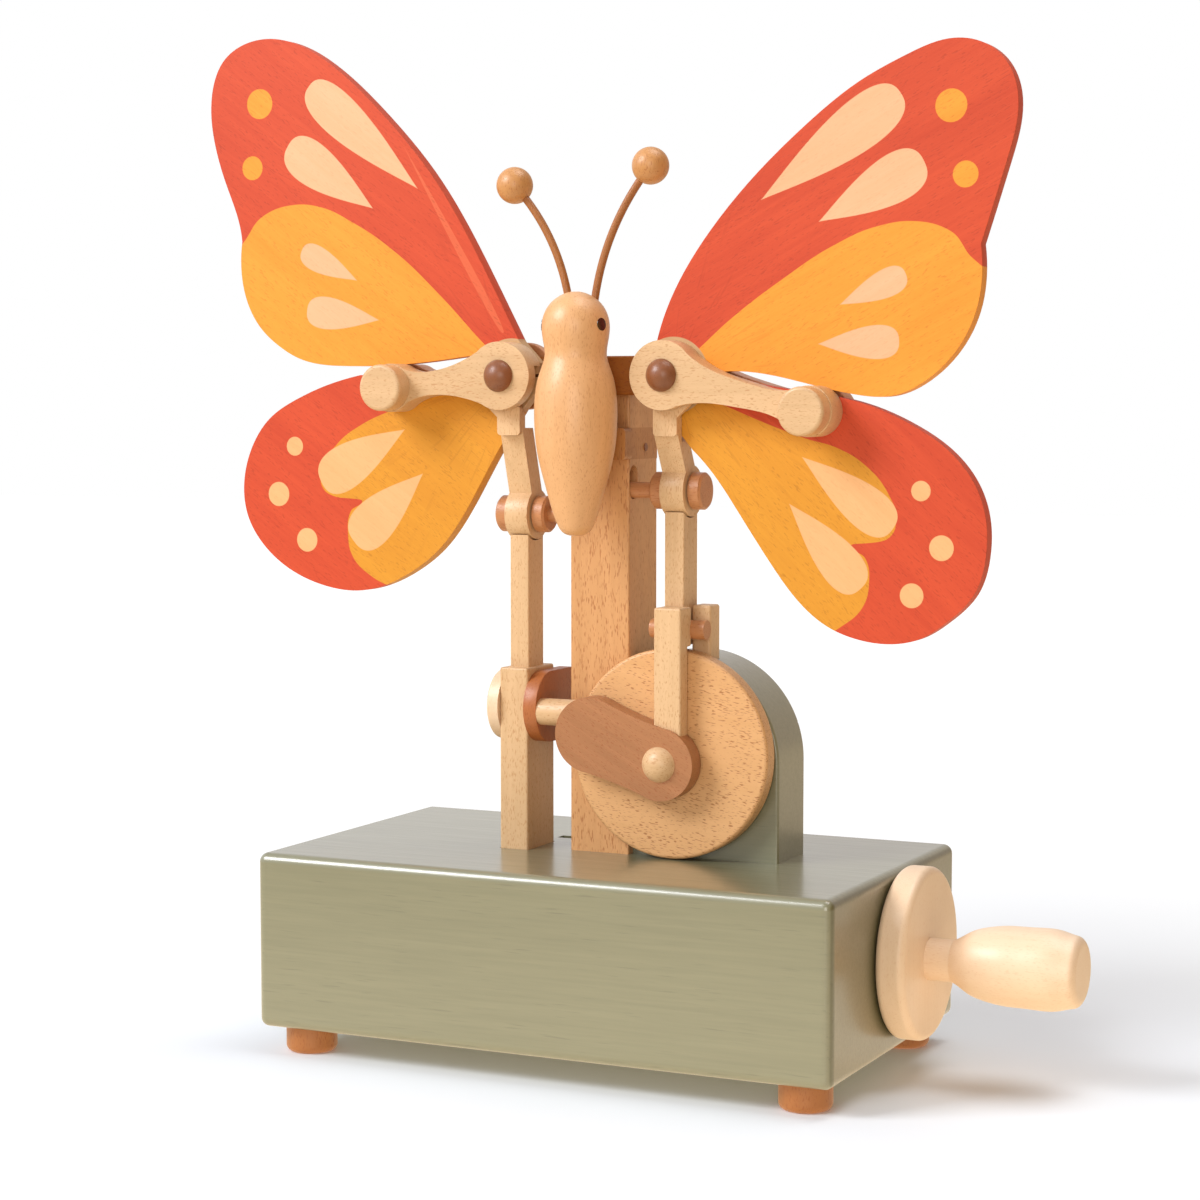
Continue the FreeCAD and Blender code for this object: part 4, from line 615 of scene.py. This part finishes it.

# %% [markdown]
# ## Paint the wings
# The layers go on in a painter's order: coral all over, one lighter streak that is a painted highlight on
# the ridge along the leading edge, the golden field with its spots, then the cream. Pores and veins darken
# whatever lies under them, and less where the cream is thick. Each layer is a mix by a mask, so a change
# in one never spoils another.

# %% Layer the paint
def painted_wing(side, level, slope, border, drops, gold_spots=(), cream_spots=(), ridge_highlight=None):
    """The stain and paint of one wing board."""
    outward = -1.0 if side == "left" else 1.0
    net = Net(bpy.data.materials.new(f"{side}_{level}_paint"))
    point = net.place()
    hinge_x, _, hinge_z = hinges[f"{side}_wing_hinge"]
    across, _, up = net.split(point)
    x, z = (across - hinge_x) * 1000.0, (up - hinge_z) * 1000.0

    board = net.tip(point, slope)
    lines, cloud, specks = (grain(net, board, "X", *pattern)
                            for pattern in (WING_LINES, WING_CLOUD, WING_PORES))
    pores = ((specks + lines * 0.2 - WING_LIMIT) * PORE_CRISPNESS).clip() * WING_FLECKS
    dark = pores.most(veins(net, x, z) * 0.3)
    tone = ((lines - 0.5) * 0.9 + (cloud - 0.5) * 0.8 + 0.5).clip()

    gold = below(net, x, z, border) if level == "upper" else below(net, z, x * outward, border)
    for at, radius in gold_spots:
        gold = gold.most(spot(x, z, at, radius))
    cream = [drop(x, z, *marks) for marks in drops] + [spot(x, z, *marks) for marks in cream_spots]
    while len(cream) > 1:
        cream.append(cream.pop(0).most(cream.pop(0)))

    colour = net.mix(tone, *CORAL)
    # Painted highlight: a lighter coral streak along the leading edge, where a ridge catches the light.
    if ridge_highlight:
        colour = net.mix(drop(x, z, *ridge_highlight) * 0.45, colour, CORAL_HIGHLIGHT)
    colour = net.mix(gold, colour, net.mix(tone, *GOLD[level]))
    colour = net.mix(cream[0], colour, net.mix(tone, *CREAM[level]))
    colour = net.mix(dark * (1.0 - cream[0] * 0.6), colour, net.mix(1.0, colour, LINE_TINT, "MULTIPLY"))
    net.set(Base_Color=net.mix(inside(far_from(x, z) - BARE_ROUND), colour, BEECH[1]),
            Roughness=0.46 + 0.12 * (1 - lines), Specular_IOR_Level=0.35)
    net.bump(lines - pores, 0.00007, 0.35)
    return net.holder


for wing, marks in WINGS.items():
    dress(painted_wing(*wing.split("_"), **marks), f"{wing}_wing")

# %% [markdown]
# ## Eyes and screws
# The eyes are black beads with a gloss that catches the window, and the screws under the box are plain
# steel. One even colour would look like plastic, and more than a faint cloud in it would look dirty.

# %% Dress eyes and screws
def plain(name, colour, rough, **shader):
    """A nearly even finish."""
    net = Net(bpy.data.materials.new(name))
    cloud = net.noise(net.place(), 300.0, 2.0)
    net.set(Base_Color=net.mix(cloud, tuple(c * 0.92 for c in colour), colour),
            Roughness=rough + 0.06 * (cloud - 0.5), **shader)
    return net.holder


dress(plain("bead_black", (0.012, 0.010, 0.009), 0.2, Coat_Weight=0.6), "eyes")
dress(plain("screw_steel", (0.55, 0.55, 0.56), 0.35, Metallic=1.0), "cover_screws")
print("dressed", len(dressed), "of", len(nodes), "pieces; bare:", sorted(set(nodes) - set(dressed)))

# %% [markdown]
# ## Rounded edges
# Sawn boards are sanded, so their edges catch a thin line of light. Cutting the round into the mesh would
# change a piece of the construction model, so it is a modifier. The meshes come as separate facets, which
# are welded first; then every edge sharper than the limit gets a small round.

# %% Round the edges of the flat pieces
WELD_REACH, SHARP_EDGE, ROUND_STEPS = 0.000001, math.radians(40.0), 3
ROUNDS = {
    0.0007: ["left_upper_wing", "right_upper_wing", "left_lower_wing", "right_lower_wing", "left_leg",
             "left_strap", "right_link", "yoke_cheek"],
    0.0006: ["left_front_arm", "right_front_arm", "left_rear_arm", "right_rear_arm", "yoke_arm"],
}


def round_edges(name, width):
    """Weld the facets of a piece and round its sharp edges."""
    nodes[name].modifiers.new("weld", "WELD").merge_threshold = WELD_REACH
    bevel = nodes[name].modifiers.new("round", "BEVEL")
    bevel.width, bevel.segments = width, ROUND_STEPS
    bevel.limit_method, bevel.angle_limit = "ANGLE", SHARP_EDGE
    bevel.use_clamp_overlap = True


for width, names in ROUNDS.items():
    for name in names:
        round_edges(name, width)
    print(len(names), "pieces rounded by", round(width * 1000, 2), "mm")

# %% [markdown]
# ## Sizes
# The looks must not change the toy's size.
